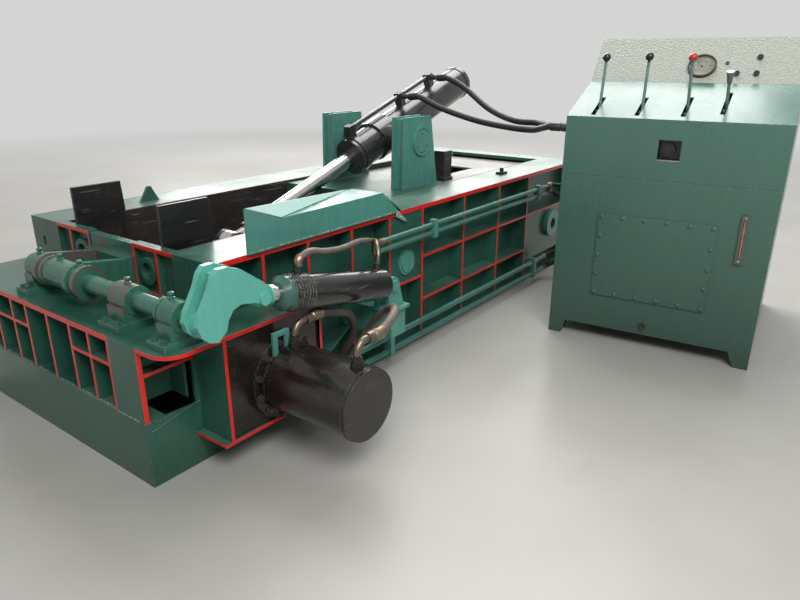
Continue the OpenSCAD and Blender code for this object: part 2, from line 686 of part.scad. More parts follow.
module power_cabinet() color(paint) at_unit() {
    s = sheet_t;
    difference() {
        box([0, 0, 0], [unit_w, unit_d, unit_h]);
        box([s, s, s + foot_h], [unit_w - s, unit_d - s, unit_h - s]);
        // Clearance between the feet on all four sides
        slab_y(-1, unit_d + 1) polygon([[72, -1], [97, foot_h], [992, foot_h], [1028, -1]]);
        slab_x(-1, unit_w + 1) polygon([[72, -1], [97, foot_h], [unit_d - 97, foot_h], [unit_d - 72, -1]]);
        // Square window with its fitting
        box([497, -1, 1067], [609, 40, 1172]);
        // Fold line across the front
        box([-1, -1, 959], [unit_w + 1, 1.5, 963]);
    }
    // Back of the square window
    difference() {
        box([492, s, 1062], [614, 45, 1177]);
        box([497, s - 1, 1067], [609, 40, 1172]);
    }
}

module console() color(paint_light) at_unit() {
    prof = [[0, unit_h], [0, unit_h + 4], [panel_foot[0], unit_h + panel_foot[1]],
        [panel_top, unit_h + console_h], [panel_top + 90, unit_h + console_h], [panel_top + 90, unit_h]];
    inner = [[30, unit_h + 6], [panel_foot[0] + 2, unit_h + panel_foot[1] - 6],
        [panel_top + 4, unit_h + console_h - 6], [panel_top + 84, unit_h + console_h - 6], [panel_top + 84, unit_h + 6]];
    difference() {
        slab_x(0, unit_w) polygon(prof);
        slab_x(sheet_t, unit_w - sheet_t) polygon(inner);
        // Lever slots
        for (k = [0 : 3])
            box([lever_us[k] - 12, slots[k][0], unit_h + 6], [lever_us[k] + 12, slots[k][1], unit_h + 180]);
        // Gauge hole
        on_panel(gauge_u, gauge_mid) translate([0, 0, -20]) cylinder(r = gauge_r - 8, h = 40);
        for (b = button_spots) on_panel(b[0], b[1]) translate([0, 0, -20]) cylinder(r = 9, h = 40);
    }
}
panel_ang = atan2(console_h - panel_foot[1], panel_top - panel_foot[0]);
panel_len = norm([console_h - panel_foot[1], panel_top - panel_foot[0]]);
gauge_u = 587;
gauge_mid = 106;
button_spots = [[767, 60], [863, 168], [862, 62]];
lamp_spot = [709, 132];
// A point on the instrument panel: u across, v up its slope, z out of it
module on_panel(u, v) translate([u, panel_foot[0] + v * cos(panel_ang), unit_h + panel_foot[1] + v * sin(panel_ang)])
    rotate([panel_ang, 0, 0]) children();

module inspection_cover() color(paint) at_unit() box([233, -11, 284], [843, 0, 758]);

cover_us = [for (i = [0 : 5]) 233 + 18 + i * (610 - 36) / 5];
cover_zs = [for (i = [1 : 3]) 284 + 16 + i * (474 - 32) / 4];
module cover_screws() color(paint) at_unit() {
    for (u = cover_us, z = [300, 742]) screw(u, z);
    for (u = [251, 825], z = cover_zs) screw(u, z);
}
module screw(u, z) translate([u, -11, z]) rotate([90, 0, 0]) {
    cylinder(r = 11, h = 4);
    translate([0, 0, 4]) cylinder(r1 = 10, r2 = 6, h = 4);
}

module level_gauge() color(steel) at_unit() {
    difference() {
        box([944, -16, 575], [980, 0, 830]);
        box([955, -17, 605], [969, -6, 800]);
    }
    box([955, -12, 605], [969, -6, 800]);
}

module unit_fittings() color(steel) at_unit() {
    translate([545, 40, 1122]) rotate([90, 0, 0]) cylinder(r = 34, h = 22);
    translate([545, 18, 1122]) rotate([90, 0, 0]) cylinder(r = 24, h = 6, $fn = 6);
    translate([539, 0, 135]) rotate([90, 0, 0]) bolt_head(16);
    on_panel(lamp_spot[0], lamp_spot[1]) cylinder(r = 10, h = 6);
    // Ports for the lid hoses on the left side, near the top front corner
    for (y = hose_ports) translate([0, y, hose_port_z]) rotate([0, -90, 0]) cylinder(r = 24, h = 40);
    for (p = supply_ports) translate([0, p[0], p[1]]) rotate([0, -90, 0]) cylinder(r = 24, h = 30);
    lever_brackets();
    // Filler and breather on the tank top
    translate([240, 900, unit_h]) cylinder(r = 45, h = 60);
}
hose_ports = [60, 120];
hose_port_z = 1205;
supply_ports = [[1060, 640], [980, 560], [1060, 300], [980, 220]];

module gauge_bezel() color(steel) at_unit() on_panel(gauge_u, gauge_mid) difference() {
    union() {
        cylinder(r = gauge_r, h = 20);
        translate([0, 0, -30]) cylinder(r = gauge_r - 8 - gap, h = 30);
    }
    translate([0, 0, 4]) cylinder(r = gauge_r - 7, h = 20);
}
module gauge_needle() color("black") at_unit() on_panel(gauge_u, gauge_mid) translate([0, 0, 4]) {
    cylinder(r = 5, h = 4);
    rotate([0, 0, 135]) translate([0, -1.5, 2]) cube([48, 3, 1.5]);
}
module gauge_glass() color([0.8, 0.85, 0.85, 0.4]) at_unit() on_panel(gauge_u, gauge_mid)
    translate([0, 0, 14]) cylinder(r = gauge_r - 7, h = 3);

module main_ram() color(liner_black) {
    z = floor_z + 2 + main_head_h / 2;
    box([main_face_x, side_w + clear, floor_z + 2], [main_face_x + 220, far_inner - clear, floor_z + 2 + main_head_h]);
    bar_x(main_rod_r, main_face_x + 220, bulk_x + 1000, cy, z);
    bar_x(main_r - 20.3, bulk_x + 1000, bulk_x + 1070, cy, z);
}

module side_ram() color(liner_black) {
    face = cy - bay_w / 2;
    box([ram_x - head_w / 2, face - 450, ram_z - head_h / 2], [ram_x + head_w / 2, face - 1, ram_z + head_h / 2]);
    bar_y(60, ram_x, ram_z, mount_y - ram_len + 90, face - 450);
    bar_y(ram_r - 22.3, ram_x, ram_z, mount_y - ram_len + 50, mount_y - ram_len + 90);
}

module turnout_shaft() color(paint) {
    bar_y(shaft_r, shaft_x, shaft_z, crank_y + crank_gap / 2, 958);
    // Collars beside the bearings
    bar_y(shaft_r + 16, shaft_x, shaft_z, -26, -8);
}

hub_lo = 506;
hub_hi = 836;
module turnout_arms() color(paint) {
    plate_x = box_len + 5;
    top = shaft_z + 43;
    low = floor_z + 1;
    difference() {
        union() {
            bar_y(hub_r, shaft_x, shaft_z, hub_lo, hub_hi);
            // End rings
            bar_y(hub_r + 9, shaft_x, shaft_z, hub_lo, hub_lo + 26);
            bar_y(hub_r + 5, shaft_x, shaft_z, hub_hi - 60, hub_hi);
            for (y = [hub_lo + 56, hub_hi - 28])
                slab_y(y, y + 28) polygon(concat([[plate_x - 40, top], [plate_x - 40, box_h + 5]],
                    [for (a = [300 : -15 : 90]) [shaft_x + (hub_r + 12) * cos(a), shaft_z + (hub_r + 12) * sin(a)]]));
            box([plate_x - 40, cy - turn_w / 2 + 4, box_h + 5], [plate_x, cy + turn_w / 2 - 4, top]);
        }
        bar_y(shaft_r, shaft_x, shaft_z, hub_lo - 1, hub_hi + 1);
    }
    // Upright plate in the slot and the fork under the bale
    box([plate_x, cy - turn_w / 2, low], [plate_x + 36, cy + turn_w / 2, frame_h - 6]);
    for (k = [-1, 0, 1])
        box([plate_x + 36, cy + k * (turn_w / 2 - 35) - 35, low], [plate_x + 36 + fork_len, cy + k * (turn_w / 2 - 35) + 35, low + 22]);
}

// Outline of a crank plate, in X and Z from the shaft
crank_shape = [
    [52, -27], [64, 10], [87, 38], [123, 49], [187, 36], [219, 20], [244, 24], [258, 44], [254, 75],
    [230, 105], [132, 177], [77, 198], [35, 198], [14, 177], [-7, 129], [-54, 54], [-66, 18], [-54, -21],
    [-25, -49], [14, -60]];
module inner_crank_plate() color(paint_light) difference() {
    slab_y(crank_y + crank_gap / 2, crank_y + crank_gap / 2 + crank_t) translate([shaft_x, shaft_z]) polygon(crank_shape);
    bar_y(shaft_r, shaft_x, shaft_z, crank_y, 0);
}
module outer_crank_plate() color(paint_light) {
    y1 = crank_y - crank_gap / 2;
    slab_y(y1 - crank_t, y1) translate([shaft_x, shaft_z]) polygon(crank_shape);
    bar_y(26, pin_x, pin_z, y1 - crank_t - 10, y1 - crank_t);
    // Round end of the shaft between the plates, and two spacer bars
    bar_y(shaft_r + 12, shaft_x, shaft_z, y1, y1 + crank_gap);
    box([shaft_x + 40, y1, shaft_z + 150], [shaft_x + 90, y1 + crank_gap, shaft_z + 174]);
}

// Along the turn-out cylinder: s is measured from the rear pivot towards the crank
module on_turn_cyl() translate([turn_pivot_x, crank_y, turn_pivot_z]) rotate([0, turn_ang - 90, 0]) children();
module turnout_barrel() color(oily) on_turn_cyl() difference() {
    union() {
        rotate([90, 0, 0]) translate([0, 0, -25]) cylinder(r = 38, h = 50);
        translate([-30, -25, 0]) cube([60, 50, 50]);
        translate([0, 0, 44]) cylinder(r = turn_bar_r, h = turn_bar_len);
        // Rings round the front of the barrel, and the gland
        for (k = [0 : 5]) translate([0, 0, turn_bar_len - 62 + k * 17]) cylinder(r = turn_bar_r + 2.5, h = 6);
        translate([0, 0, 43 + turn_bar_len]) cylinder(r = turn_bar_r - 2, h = 25);
        translate([0, 0, 67 + turn_bar_len]) cylinder(r1 = turn_bar_r - 2, r2 = turn_rod_r + 12, h = 22);
        // Ports
        for (s = [90, turn_bar_len - 16]) translate([0, 0, s]) rotate([0, 90, 0]) cylinder(r = 15, h = turn_bar_r + 30);
    }
    rotate([90, 0, 0]) translate([0, 0, -26]) cylinder(r = 21.7 + run, h = 52);
    translate([0, 0, 80]) cylinder(r = turn_bar_r - 10, h = turn_bar_len - 60);
    translate([0, 0, 100]) cylinder(r = turn_rod_r + run, h = turn_bar_len + 40);
}
module turnout_rod() color(steel) on_turn_cyl() {
    translate([0, 0, 110]) cylinder(r = turn_bar_r - 10.3, h = 40);
    translate([0, 0, 150]) cylinder(r = turn_rod_r, h = turn_dist - 202);
    // Narrow neck that stays clear of the crank plates
    translate([0, 0, turn_dist - 53]) cylinder(r = crank_gap / 2 - 2, h = 23);
    translate([0, 0, turn_dist - 76]) cylinder(r = 40, h = 26);
    translate([0, 0, turn_dist]) rotate([90, 0, 0]) translate([0, 0, -24]) cylinder(r = 38, h = 48);
}

module lid() color(paint) {
    y0 = side_w + clear;
    y1 = far_inner - clear;
    difference() {
        box([lid_front, y0, lid_z], [lid_rear, y1, lid_z + lid_t]);
        // Pockets between the top ribs
        for (i = [0 : 4], j = [0 : 3]) {
            px = (lid_rear - lid_front - 20) / 5;
            py = (y1 - y0 - 20) / 4;
            box([lid_front + 20 + i * px, y0 + 20 + j * py, lid_z + 30],
                [lid_front + i * px + px, y0 + j * py + py, lid_z + lid_t + 1]);
        }
    }
    // Lug cheeks for the rod end
    for (s = [-1, 1]) difference() {
        slab_y(cy + s * 52 - 12, cy + s * 52 + 12) polygon(concat([[lug_x - 110, lid_z + 30], [lug_x + 110, lid_z + 30]],
            [for (a = [0 : 15 : 180]) [lug_x + 60 * cos(a), lug_z + 60 * sin(a)]]));
    }
    for (s = [-1, 1]) bar_y(34, lug_x, lug_z, cy + s * 52 + (s > 0 ? 12 : -24), cy + s * 52 + (s > 0 ? 24 : -12));
    // Hinge arms
    both_sides() difference() {
        slab_y(side_w + 32, side_w + 132) polygon(concat([[lid_rear - 120, lid_z + lid_t], [lid_rear - 120, lid_z], [lid_rear, lid_z]],
            [for (a = [-60 : 20 : 120]) [lid_hinge_x + 52 * cos(a), lid_hinge_z + 52 * sin(a)]]));
        bar_y(lid_pin_r + run, lid_hinge_x, lid_hinge_z, side_w, side_w + 140);
    }
}

// Along the lid cylinder: z runs from the trunnion towards the cap end
module on_lid_cyl() translate([trun_x, cy, trun_z]) rotate([0, 90 - lid_ang, 0]) children();
module lid_barrel() color([0.30, 0.29, 0.29]) on_lid_cyl() difference() {
    union() {
        translate([0, 0, -lid_gland + 60]) cylinder(r = lid_bar_r, h = lid_tail + lid_gland - 60);
        // Stepped gland
        translate([0, 0, -lid_gland]) cylinder(r = lid_bar_r + 2, h = 22);
        translate([0, 0, -lid_gland + 22]) cylinder(r = lid_bar_r - 4, h = 8);
        translate([0, 0, -lid_gland + 30]) cylinder(r = lid_bar_r + 8, h = 46);
        // Trunnion band and pins
        translate([0, 0, -75]) cylinder(r = lid_bar_r + 14, h = 150);
        rotate([90, 0, 0]) translate([0, 0, -trun_half + 6]) cylinder(r = 84, h = 2 * (trun_half - 6));
        rotate([90, 0, 0]) translate([0, 0, -trun_half - tower_w + 4]) cylinder(r = 60, h = 2 * (trun_half + tower_w - 4));
        // Cap end
        translate([0, 0, lid_tail - 40]) cylinder(r = lid_bar_r + 5, h = 12);
    }
    translate([0, 0, -lid_gland + 70]) cylinder(r = lid_bar_r - 16, h = lid_tail + lid_gland - 110);
    translate([0, 0, -lid_gland - 1]) cylinder(r = lid_rod_r + run, h = 100);
}
// Port blocks, the rigid pipe on top and the elbows; x is up from the barrel
lid_ports = [-255, 294, 650];
module lid_barrel_fittings() color(liner_black) on_lid_cyl() difference() {
    up = lid_bar_r - 6;
    union() {
        for (s = lid_ports) translate([-up - 84, -26, s - 24]) cube([84, 52, 48]);
        translate([-up - 62, 0, lid_ports[0] + 24]) cylinder(r = 15, h = lid_ports[1] - lid_ports[0] - 48);
        translate([-up - 62, 0, lid_ports[1] + 24]) cylinder(r = 15, h = lid_ports[2] - lid_ports[1] - 48);
        // Adaptors towards the near side for the hoses
        for (s = [lid_ports[1], lid_ports[2]]) translate([-up - 60, -26, s]) rotate([90, 0, 0]) {
            cylinder(r = 22, h = 26, $fn = 6);
            translate([0, 0, 26]) cylinder(r = 17, h = 30);
        }
    }
    translate([0, 0, -lid_gland - 1]) cylinder(r = lid_bar_r, h = lid_tail + lid_gland);
    translate([0, 0, -lid_gland + 30]) cylinder(r = lid_bar_r + 8, h = 46);
}
module lid_rod() color(steel) on_lid_cyl() {
    translate([0, 0, -lid_dist + 30]) cylinder(r = 36, h = 80);
    translate([0, 0, -lid_dist + 106]) cylinder(r = lid_rod_r, h = lid_dist + 430 - 106);
    translate([0, 0, 430]) cylinder(r = lid_bar_r - 16.3, h = 60);
    translate([0, 0, -lid_dist]) rotate([90, 0, 0]) translate([0, 0, -38]) cylinder(r = 58, h = 76);
    translate([0, 0, -lid_dist + 106]) cylinder(r = 54, h = 24);
}

// Lid hoses hang from the barrel's adaptors to the unit's ports, points chosen by hand
lid_hose_a = [[2565.8, 657.7, 1329], [2565.8, 570, 1329], [2600, 420, 1262], [2640, 180, 1195], [2640, -60, 1165],
    [2590, -240, 1165], [2505, -345, 1188], [2443.5, -417.2, 1205], [2450.8, -491.8, 1205]];
lid_hose_b = [[2903.3, 657.7, 1442], [2903.3, 575, 1442], [2890, 430, 1385], [2800, 180, 1260], [2690, -60, 1205],
    [2640, -240, 1203], [2560, -345, 1205], [2503.3, -411.6, 1205], [2510.6, -486.2, 1205]];
module lid_hoses() color(hose_grey) {
    tube(hose_line(lid_hose_a, 4), 19, [0, 0, 1]);
    tube(hose_line(lid_hose_b, 4), 19, [0, 0, 1]);
}

// A lever with its knob, at rest leaning on its own pivot
lever_lean = [-9, -5.4, 12.7, 22];
lever_zs = [1290, 1292, 1292, 1312];
eye_r = 11;
pin_r = 5;
module lever(k) at_unit() translate([lever_us[k], lever_ds[k], lever_zs[k]]) difference() {
    union() {
        rotate([lever_lean[k], 0, 0]) {
            long = k < 3 ? lever_len : lever_len * 0.66;
            cylinder(r = lever_r, h = long);
            if (k < 3) translate([0, 0, long + 16]) sphere(r = 22);
            else translate([0, 0, long - 30]) cylinder(r1 = 11, r2 = 19, h = 62);
        }
        rotate([0, 90, 0]) translate([0, 0, -14]) cylinder(r = eye_r, h = 28);
    }
    rotate([0, 90, 0]) translate([0, 0, -15]) cylinder(r = pin_r + run, h = 30);
}
module lever_brackets() for (k = [0 : 3]) translate([lever_us[k], lever_ds[k], unit_h + 6]) {
    rise = lever_zs[k] - unit_h - 6;
    for (x = [-18.3, 14.3]) translate([x, -12, 0]) cube([4, 24, rise + 12]);
    translate([0, 0, rise]) rotate([0, 90, 0]) translate([0, 0, -19]) cylinder(r = pin_r, h = 38);
}
module lever_1() color("black") lever(0);
module lever_2() color("black") lever(1);
module lever_3() color([0.75, 0.12, 0.12]) lever(2);
module lever_4() color("black") lever(3);

module button(k) at_unit() on_panel(button_spots[k][0], button_spots[k][1]) {
    translate([0, 0, -12]) cylinder(r = 9 - gap, h = 12 + 8);
    translate([0, 0, 6]) cylinder(r = 15, h = 8);
}
module button_1() color("black") button(0);
module button_2() color("black") button(1);
module button_3() color("black") button(2);

// The origin lies on the floor under the middle of the baler
module placed() translate([-frame_len / 2, -cy, 0]) children();
placed() front_box();
placed() front_end_wall();
placed() near_side_frame();
placed() far_side_frame();
placed() rear_end_plate();
placed() base_plate();
placed() chamber_liners();
placed() guide_plates();
placed() cross_deck();
placed() cylinder_towers();
placed() trunnion_keepers();
placed() guard_box();
placed() side_ledge();
placed() ram_mount_plate();
placed() ram_tunnel();
placed() side_ram_barrel();
placed() bolts();
placed() shaft_bearings();
placed() lid_hinge_shaft();
placed() hinge_blocks();
placed() cylinder_stool();
placed() hydraulic_pipes();
placed() pipe_clamps();
placed() side_bosses();
placed() rear_block();
placed() main_ram_barrel();
placed() ram_bulkhead();
placed() side_ram_fittings();
placed() side_ram_hoses();
placed() turnout_hoses();
placed() supply_hoses();
placed() power_cabinet();
placed() console();
placed() inspection_cover();
placed() cover_screws();
placed() level_gauge();
placed() unit_fittings();
placed() gauge_bezel();
placed() gauge_glass();
placed() main_ram();
placed() side_ram();
placed() turnout_shaft();
placed() turnout_arms();
placed() inner_crank_plate();
placed() outer_crank_plate();
placed() turnout_barrel();
placed() turnout_rod();
placed() lid();
placed() lid_barrel();
placed() lid_rod();
placed() lid_barrel_fittings();
placed() lid_hoses();
placed() gauge_needle();
placed() lever_1();
placed() lever_2();
placed() lever_3();
placed() lever_4();
placed() button_1();
placed() button_2();
placed() button_3();
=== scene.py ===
import math
import random

import bmesh
import bpy
from mathutils import Euler, Matrix, Vector


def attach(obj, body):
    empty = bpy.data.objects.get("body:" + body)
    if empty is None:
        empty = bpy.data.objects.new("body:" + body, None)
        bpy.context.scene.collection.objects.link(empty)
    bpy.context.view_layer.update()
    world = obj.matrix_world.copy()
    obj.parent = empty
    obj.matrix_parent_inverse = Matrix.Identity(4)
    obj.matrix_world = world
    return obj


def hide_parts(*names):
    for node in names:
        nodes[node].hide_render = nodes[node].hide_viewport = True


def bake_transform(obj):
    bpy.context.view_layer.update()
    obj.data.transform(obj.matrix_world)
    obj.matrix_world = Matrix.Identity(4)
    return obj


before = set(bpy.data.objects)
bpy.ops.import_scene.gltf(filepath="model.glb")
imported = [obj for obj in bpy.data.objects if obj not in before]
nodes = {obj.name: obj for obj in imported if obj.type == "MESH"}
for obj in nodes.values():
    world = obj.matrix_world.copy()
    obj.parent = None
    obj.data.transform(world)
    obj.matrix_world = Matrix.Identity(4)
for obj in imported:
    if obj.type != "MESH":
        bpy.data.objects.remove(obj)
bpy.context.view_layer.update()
scene = bpy.context.scene
random.seed(7)

# Sizes and places of the solids, in metres
FRAME_LEN, FRAME_W = 4.000, 1.480
NEAR_Y = 0.015
BOX_LEN, BOX_H, BAND_H = 0.375, 0.590, 0.277
LEDGE_OUT = 0.180
SHAFT_X, SHAFT_Z = 0.135 - FRAME_LEN / 2, 0.697
UNIT_PLACE = Vector((2.395 - FRAME_LEN / 2, -0.538 - FRAME_W / 2, 0))
UNIT_LEAN = math.radians(5.6)
UNIT_H = 1.270
PANEL_FOOT = Vector((0, 0.415, UNIT_H + 0.173))
PANEL_ANGLE = math.atan2(0.411 - 0.173, 0.612 - 0.415)
WINDOW_U, WINDOW_Z = (0.496, 0.610), (1.066, 1.173)
LEVEL_U = 0.962


def at(x, y, z):
    """A place measured from the baler's near front corner, in millimetres."""
    return Vector((x / 1000 - FRAME_LEN / 2, y / 1000 - FRAME_W / 2, z / 1000))


def unit_matrix():
    """The power unit's own frame: x across its front, y into it."""
    return Matrix.Translation(UNIT_PLACE) @ Matrix.Rotation(UNIT_LEAN - math.radians(90), 4, "Z")


def panel_matrix(u, v):
    """A place on the instrument panel: u across, v up its slope, z out of it."""
    return (unit_matrix() @ Matrix.Translation(PANEL_FOOT + Vector((u, 0, 0)))
            @ Matrix.Rotation(PANEL_ANGLE, 4, "X") @ Matrix.Translation((0, v, 0)))


# Shader expressions
class Wire:
    """One output of a node, with arithmetic that adds Math nodes."""

    def __init__(self, finish, socket):
        self.finish = finish
        self.socket = socket

    def math(self, operation, *others):
        values = dict(enumerate((self,) + others))
        return self.finish.node("ShaderNodeMath", {"operation": operation}, values)

    def __add__(self, other):
        return self.math("ADD", other)

    def __mul__(self, other):
        return self.math("MULTIPLY", other)

    def __sub__(self, other):
        return self.math("SUBTRACT", other)

    def __rsub__(self, other):
        return self * -1 + other

    def __lt__(self, other):
        return self.math("LESS_THAN", other)

    def __gt__(self, other):
        return self.math("GREATER_THAN", other)

    def __or__(self, other):
        return self.math("MAXIMUM", other)

    def between(self, low, high):
        return (self > low) * (self < high)

    def ramp(self, low, high):
        """0 below low, 1 above high, straight between."""
        sockets = {"Value": self, "From Min": low, "From Max": high}
        return self.finish.node("ShaderNodeMapRange", {"clamp": True}, sockets)


class Finish:
    """A procedural material that is read on the object's own coordinates."""

    def __init__(self, name):
        self.material = bpy.data.materials.new(name)
        self.material.use_nodes = True
        self.tree = self.material.node_tree
        self.tree.nodes.clear()
        self.shader = self.tree.nodes.new("ShaderNodeBsdfPrincipled")
        output = self.tree.nodes.new("ShaderNodeOutputMaterial")
        self.tree.links.new(self.shader.outputs[0], output.inputs["Surface"])

    def node(self, kind, settings=None, sockets=None, output=0):
        made = self.tree.nodes.new(kind)
        for key, value in (settings or {}).items():
            setattr(made, key, value)
        for key, value in (sockets or {}).items():
            if isinstance(value, Wire):
                self.tree.links.new(value.socket, made.inputs[key])
            else:
                made.inputs[key].default_value = value
        return Wire(self, made.outputs[output])

    def place(self):
        return self.node("ShaderNodeTexCoord", output="Object")

    def stretched(self, place, scale):
        return self.node("ShaderNodeMapping", {"vector_type": "POINT"}, {"Vector": place, "Scale": scale})

    def split(self, vector):
        parts = self.tree.nodes.new("ShaderNodeSeparateXYZ")
        self.tree.links.new(vector.socket, parts.inputs[0])
        return [Wire(self, out) for out in parts.outputs]

    def normal(self):
        return self.node("ShaderNodeNewGeometry", output="Normal")

    def noise(self, place, scale, detail=3, roughness=0.55):
        sockets = {"Vector": place, "Scale": scale, "Detail": detail, "Roughness": roughness}
        return self.node("ShaderNodeTexNoise", {}, sockets)

    def mix(self, factor, low, high):
        low, high = [(*c, 1) if isinstance(c, tuple) and len(c) == 3 else c for c in (low, high)]
        return self.node("ShaderNodeMix", {"data_type": "RGBA"}, {0: factor, 6: low, 7: high}, 2)

    def bump(self, height, distance, strength=1.0, normal=None):
        sockets = {"Height": height, "Distance": distance, "Strength": strength}
        if normal:
            sockets["Normal"] = normal
        return self.node("ShaderNodeBump", {}, sockets)

    def soft_edges(self, radius):
        """The rounded normal of machined and painted edges, and a mask of the edges themselves."""
        rounded = self.node("ShaderNodeBevel", {"samples": 4}, {"Radius": radius})
        same = self.node("ShaderNodeVectorMath", {"operation": "DOT_PRODUCT"},
                         {0: rounded, 1: self.normal()}, "Value")
        return rounded, (1 - same).ramp(0.01, 0.12)

    def set(self, **sockets):
        names = {"colour": "Base Color", "rough": "Roughness", "metal": "Metallic", "normal": "Normal",
                 "coat": "Coat Weight", "coat_rough": "Coat Roughness", "ior": "IOR",
                 "transmission": "Transmission Weight", "specular": "Specular IOR Level"}
        for key, value in sockets.items():
            target = self.shader.inputs[names[key]]
            if isinstance(value, Wire):
                self.tree.links.new(value.socket, target)
            else:
                target.default_value = (*value, 1) if isinstance(value, tuple) else value
        return self.material


def tint(colour, amount):
    """The same colour, darker below 1 and lighter above."""
    return tuple(min(1, c * amount) for c in colour)


# Colours, in linear values
PAINT = (0.026, 0.105, 0.072)
PAINT_LIGHT = (0.078, 0.270, 0.222)
# The guard fold's colour is a painted reflection, far paler than the guard's own paint
FOLD_PAINTED_REFLECTION = (0.430, 0.640, 0.580)
CRANK_PAINT = (0.110, 0.440, 0.355)
UNIT_PAINT = (0.072, 0.168, 0.130)
RED = (0.70, 0.016, 0.012)
WHITE_CHIP = (0.66, 0.70, 0.67)
OPENING_SHADE_BLACK = (0.008, 0.009, 0.009)
KNOB_BLACK, KNOB_RED, KNOB_GREY = (0.012, 0.012, 0.013), (0.52, 0.014, 0.02), (0.14, 0.15, 0.16)
DUST_AND_TOP_SHEEN, GRIME = (0.30, 0.34, 0.30), (0.030, 0.040, 0.034)
EDGE_WEAR = (0.36, 0.46, 0.41)


def unit_coordinates(x, y):
    """Distances across the unit and into it, from its front left foot."""
    right = math.sin(UNIT_LEAN), -math.cos(UNIT_LEAN)
    into = -right[1], right[0]
    x, y = x - UNIT_PLACE.x, y - UNIT_PLACE.y
    return x * right[0] + y * right[1], x * into[0] + y * into[1]


def painted(name, colour, red_edges=None, stipple=None, grime=0.6, gloss=0.30, shade_in_openings=None, other=None,
            chipped=None, brushed=1.0, shade_toward_floor=None):
    """Brush-painted steel: uneven coats, runs, dusty tops paler with a painted sheen, chips along the edges,
    and red where it is marked; where asked, painted shade low down and in openings, and a hammered panel
    painted pale, partly as a painted reflection.
    """
    m = Finish(name)
    place = m.place()
    x, y, z = m.split(place)
    nx, ny, nz = m.split(m.normal())
    rounded, edge = m.soft_edges(0.003)
    broad = m.noise(place, 2.2, 4)
    strokes = m.noise(m.stretched(place, (34, 34, 5)), 1.0, 4, 0.6)
    fine = m.noise(place, 55, 4, 0.6)
    shade = (broad * 0.7 + strokes * 0.5).ramp(0.38, 0.82)
    base = m.mix(shade, tint(colour, 1 - 0.28 * brushed), tint(colour, 1 + 0.22 * brushed))
    # Painted shade: the colour darkens towards the bottom, standing in for light that falls from above
    if shade_toward_floor:
        base = m.mix(z.ramp(*shade_toward_floor), tint(colour, 0.48), base)
    if red_edges:
        marked = red_edges(m, x, y, z, nx, ny, nz)
        patchy = (fine + strokes * 0.5).ramp(0.45, 0.62)
        red = m.mix(patchy, tint(RED, 0.62), RED)
        base = m.mix(marked, base, red)
    # Level tops are painted paler, partly dust and partly a painted sheen standing in for glare on them; oil
    # and dirt gather low down
    dust_and_sheen = nz.ramp(0.7, 0.98) * broad.ramp(0.42, 0.7) * 0.22
    base = m.mix(dust_and_sheen, base, DUST_AND_TOP_SHEEN)
    low = (1 - z.ramp(0.0, 0.16)) * fine.ramp(0.35, 0.7) * grime
    base = m.mix(low, base, GRIME)
    spots = m.noise(place, 16, 5, 0.7).ramp(0.66, 0.74) * grime
    base = m.mix(spots * 0.6, base, tint(colour, 0.35))
    chips = edge * m.noise(place, 90, 3, 0.7).ramp(0.52, 0.62)
    base = m.mix(chips * 0.75, base, EDGE_WEAR)
    if chipped:
        flakes = m.noise(place, 130, 4, 0.7).ramp(0.50, 0.58)
        base = m.mix(chipped(m, x, y, z) * flakes, base, WHITE_CHIP)
    if other:
        marked, tone = other
        base = m.mix(marked(m, x, y, z), base, m.mix(broad, tint(tone, 0.85), tint(tone, 1.15)))
    relief = strokes * (0.6 * brushed) + m.noise(place, 160, 2) * 0.35
    if stipple:
        hammered = stipple(m, x, y, z)
        blobs = m.node("ShaderNodeTexVoronoi", {"feature": "SMOOTH_F1"},
                       {"Vector": place, "Scale": 95, "Smoothness": 0.4})
        relief = relief + blobs * hammered * 2.4
        # The hammered panel is coloured pale: partly its own lighter hammered paint, partly a painted
        # reflection of the light falling on it; the blobs vary the tone
        pale = m.mix(blobs.ramp(0.05, 0.6), (0.36, 0.40, 0.33), (0.50, 0.52, 0.45))
        base = m.mix(hammered * 0.9, base, pale)
    # Openings are painted black: painted shade where the light does not reach inside
    if shade_in_openings:
        base = m.mix(shade_in_openings(m, x, y, z), base, OPENING_SHADE_BLACK)
    normal = m.bump(relief, 0.0016, 0.6, rounded)
    rough = (strokes * 0.16 + broad * 0.12 + (gloss - 0.12)) + dust_and_sheen * 0.8 + spots * 0.1
    return m.set(colour=base, rough=rough, normal=normal, coat=0.18, coat_rough=0.12, specular=0.42)


# Where the red paint, the bare places and the openings painted black as painted shade are, in the frame's
# coordinates
RED_DEPTH = 0.0015
OUTER_Y = -FRAME_W / 2
FRONT_X = -FRAME_LEN / 2


def side_red(m, x, y, z, nx, ny, nz):
    """Rib edges, rails and the flange edge of both long sides."""
    near = (y < NEAR_Y + OUTER_Y + RED_DEPTH) | (y > -OUTER_Y - NEAR_Y - RED_DEPTH)
    return near * (z > 0.055)


def front_red(m, x, y, z, nx, ny, nz):
    """Edges of the cells in the front, and of the post and rail at the box's near end."""
    cells = (x < FRONT_X + RED_DEPTH) * (z > BAND_H - 0.001) * (y > -0.559) * (y < 0.559)
    side = y < OUTER_Y + RED_DEPTH
    post = side * (x < FRONT_X + 0.0205) * (z > BAND_H)
    rail = side * (x < FRONT_X + 0.235) * z.between(0.4625, 0.4775) * (x > FRONT_X + 0.0195)
    return cells | post | rail


def wall_red(m, x, y, z, nx, ny, nz):
    """Rib edges of the wall behind the front box."""
    face = x < FRONT_X + BOX_LEN + RED_DEPTH
    return face * y.math("ABSOLUTE").between(0.176, 0.471)


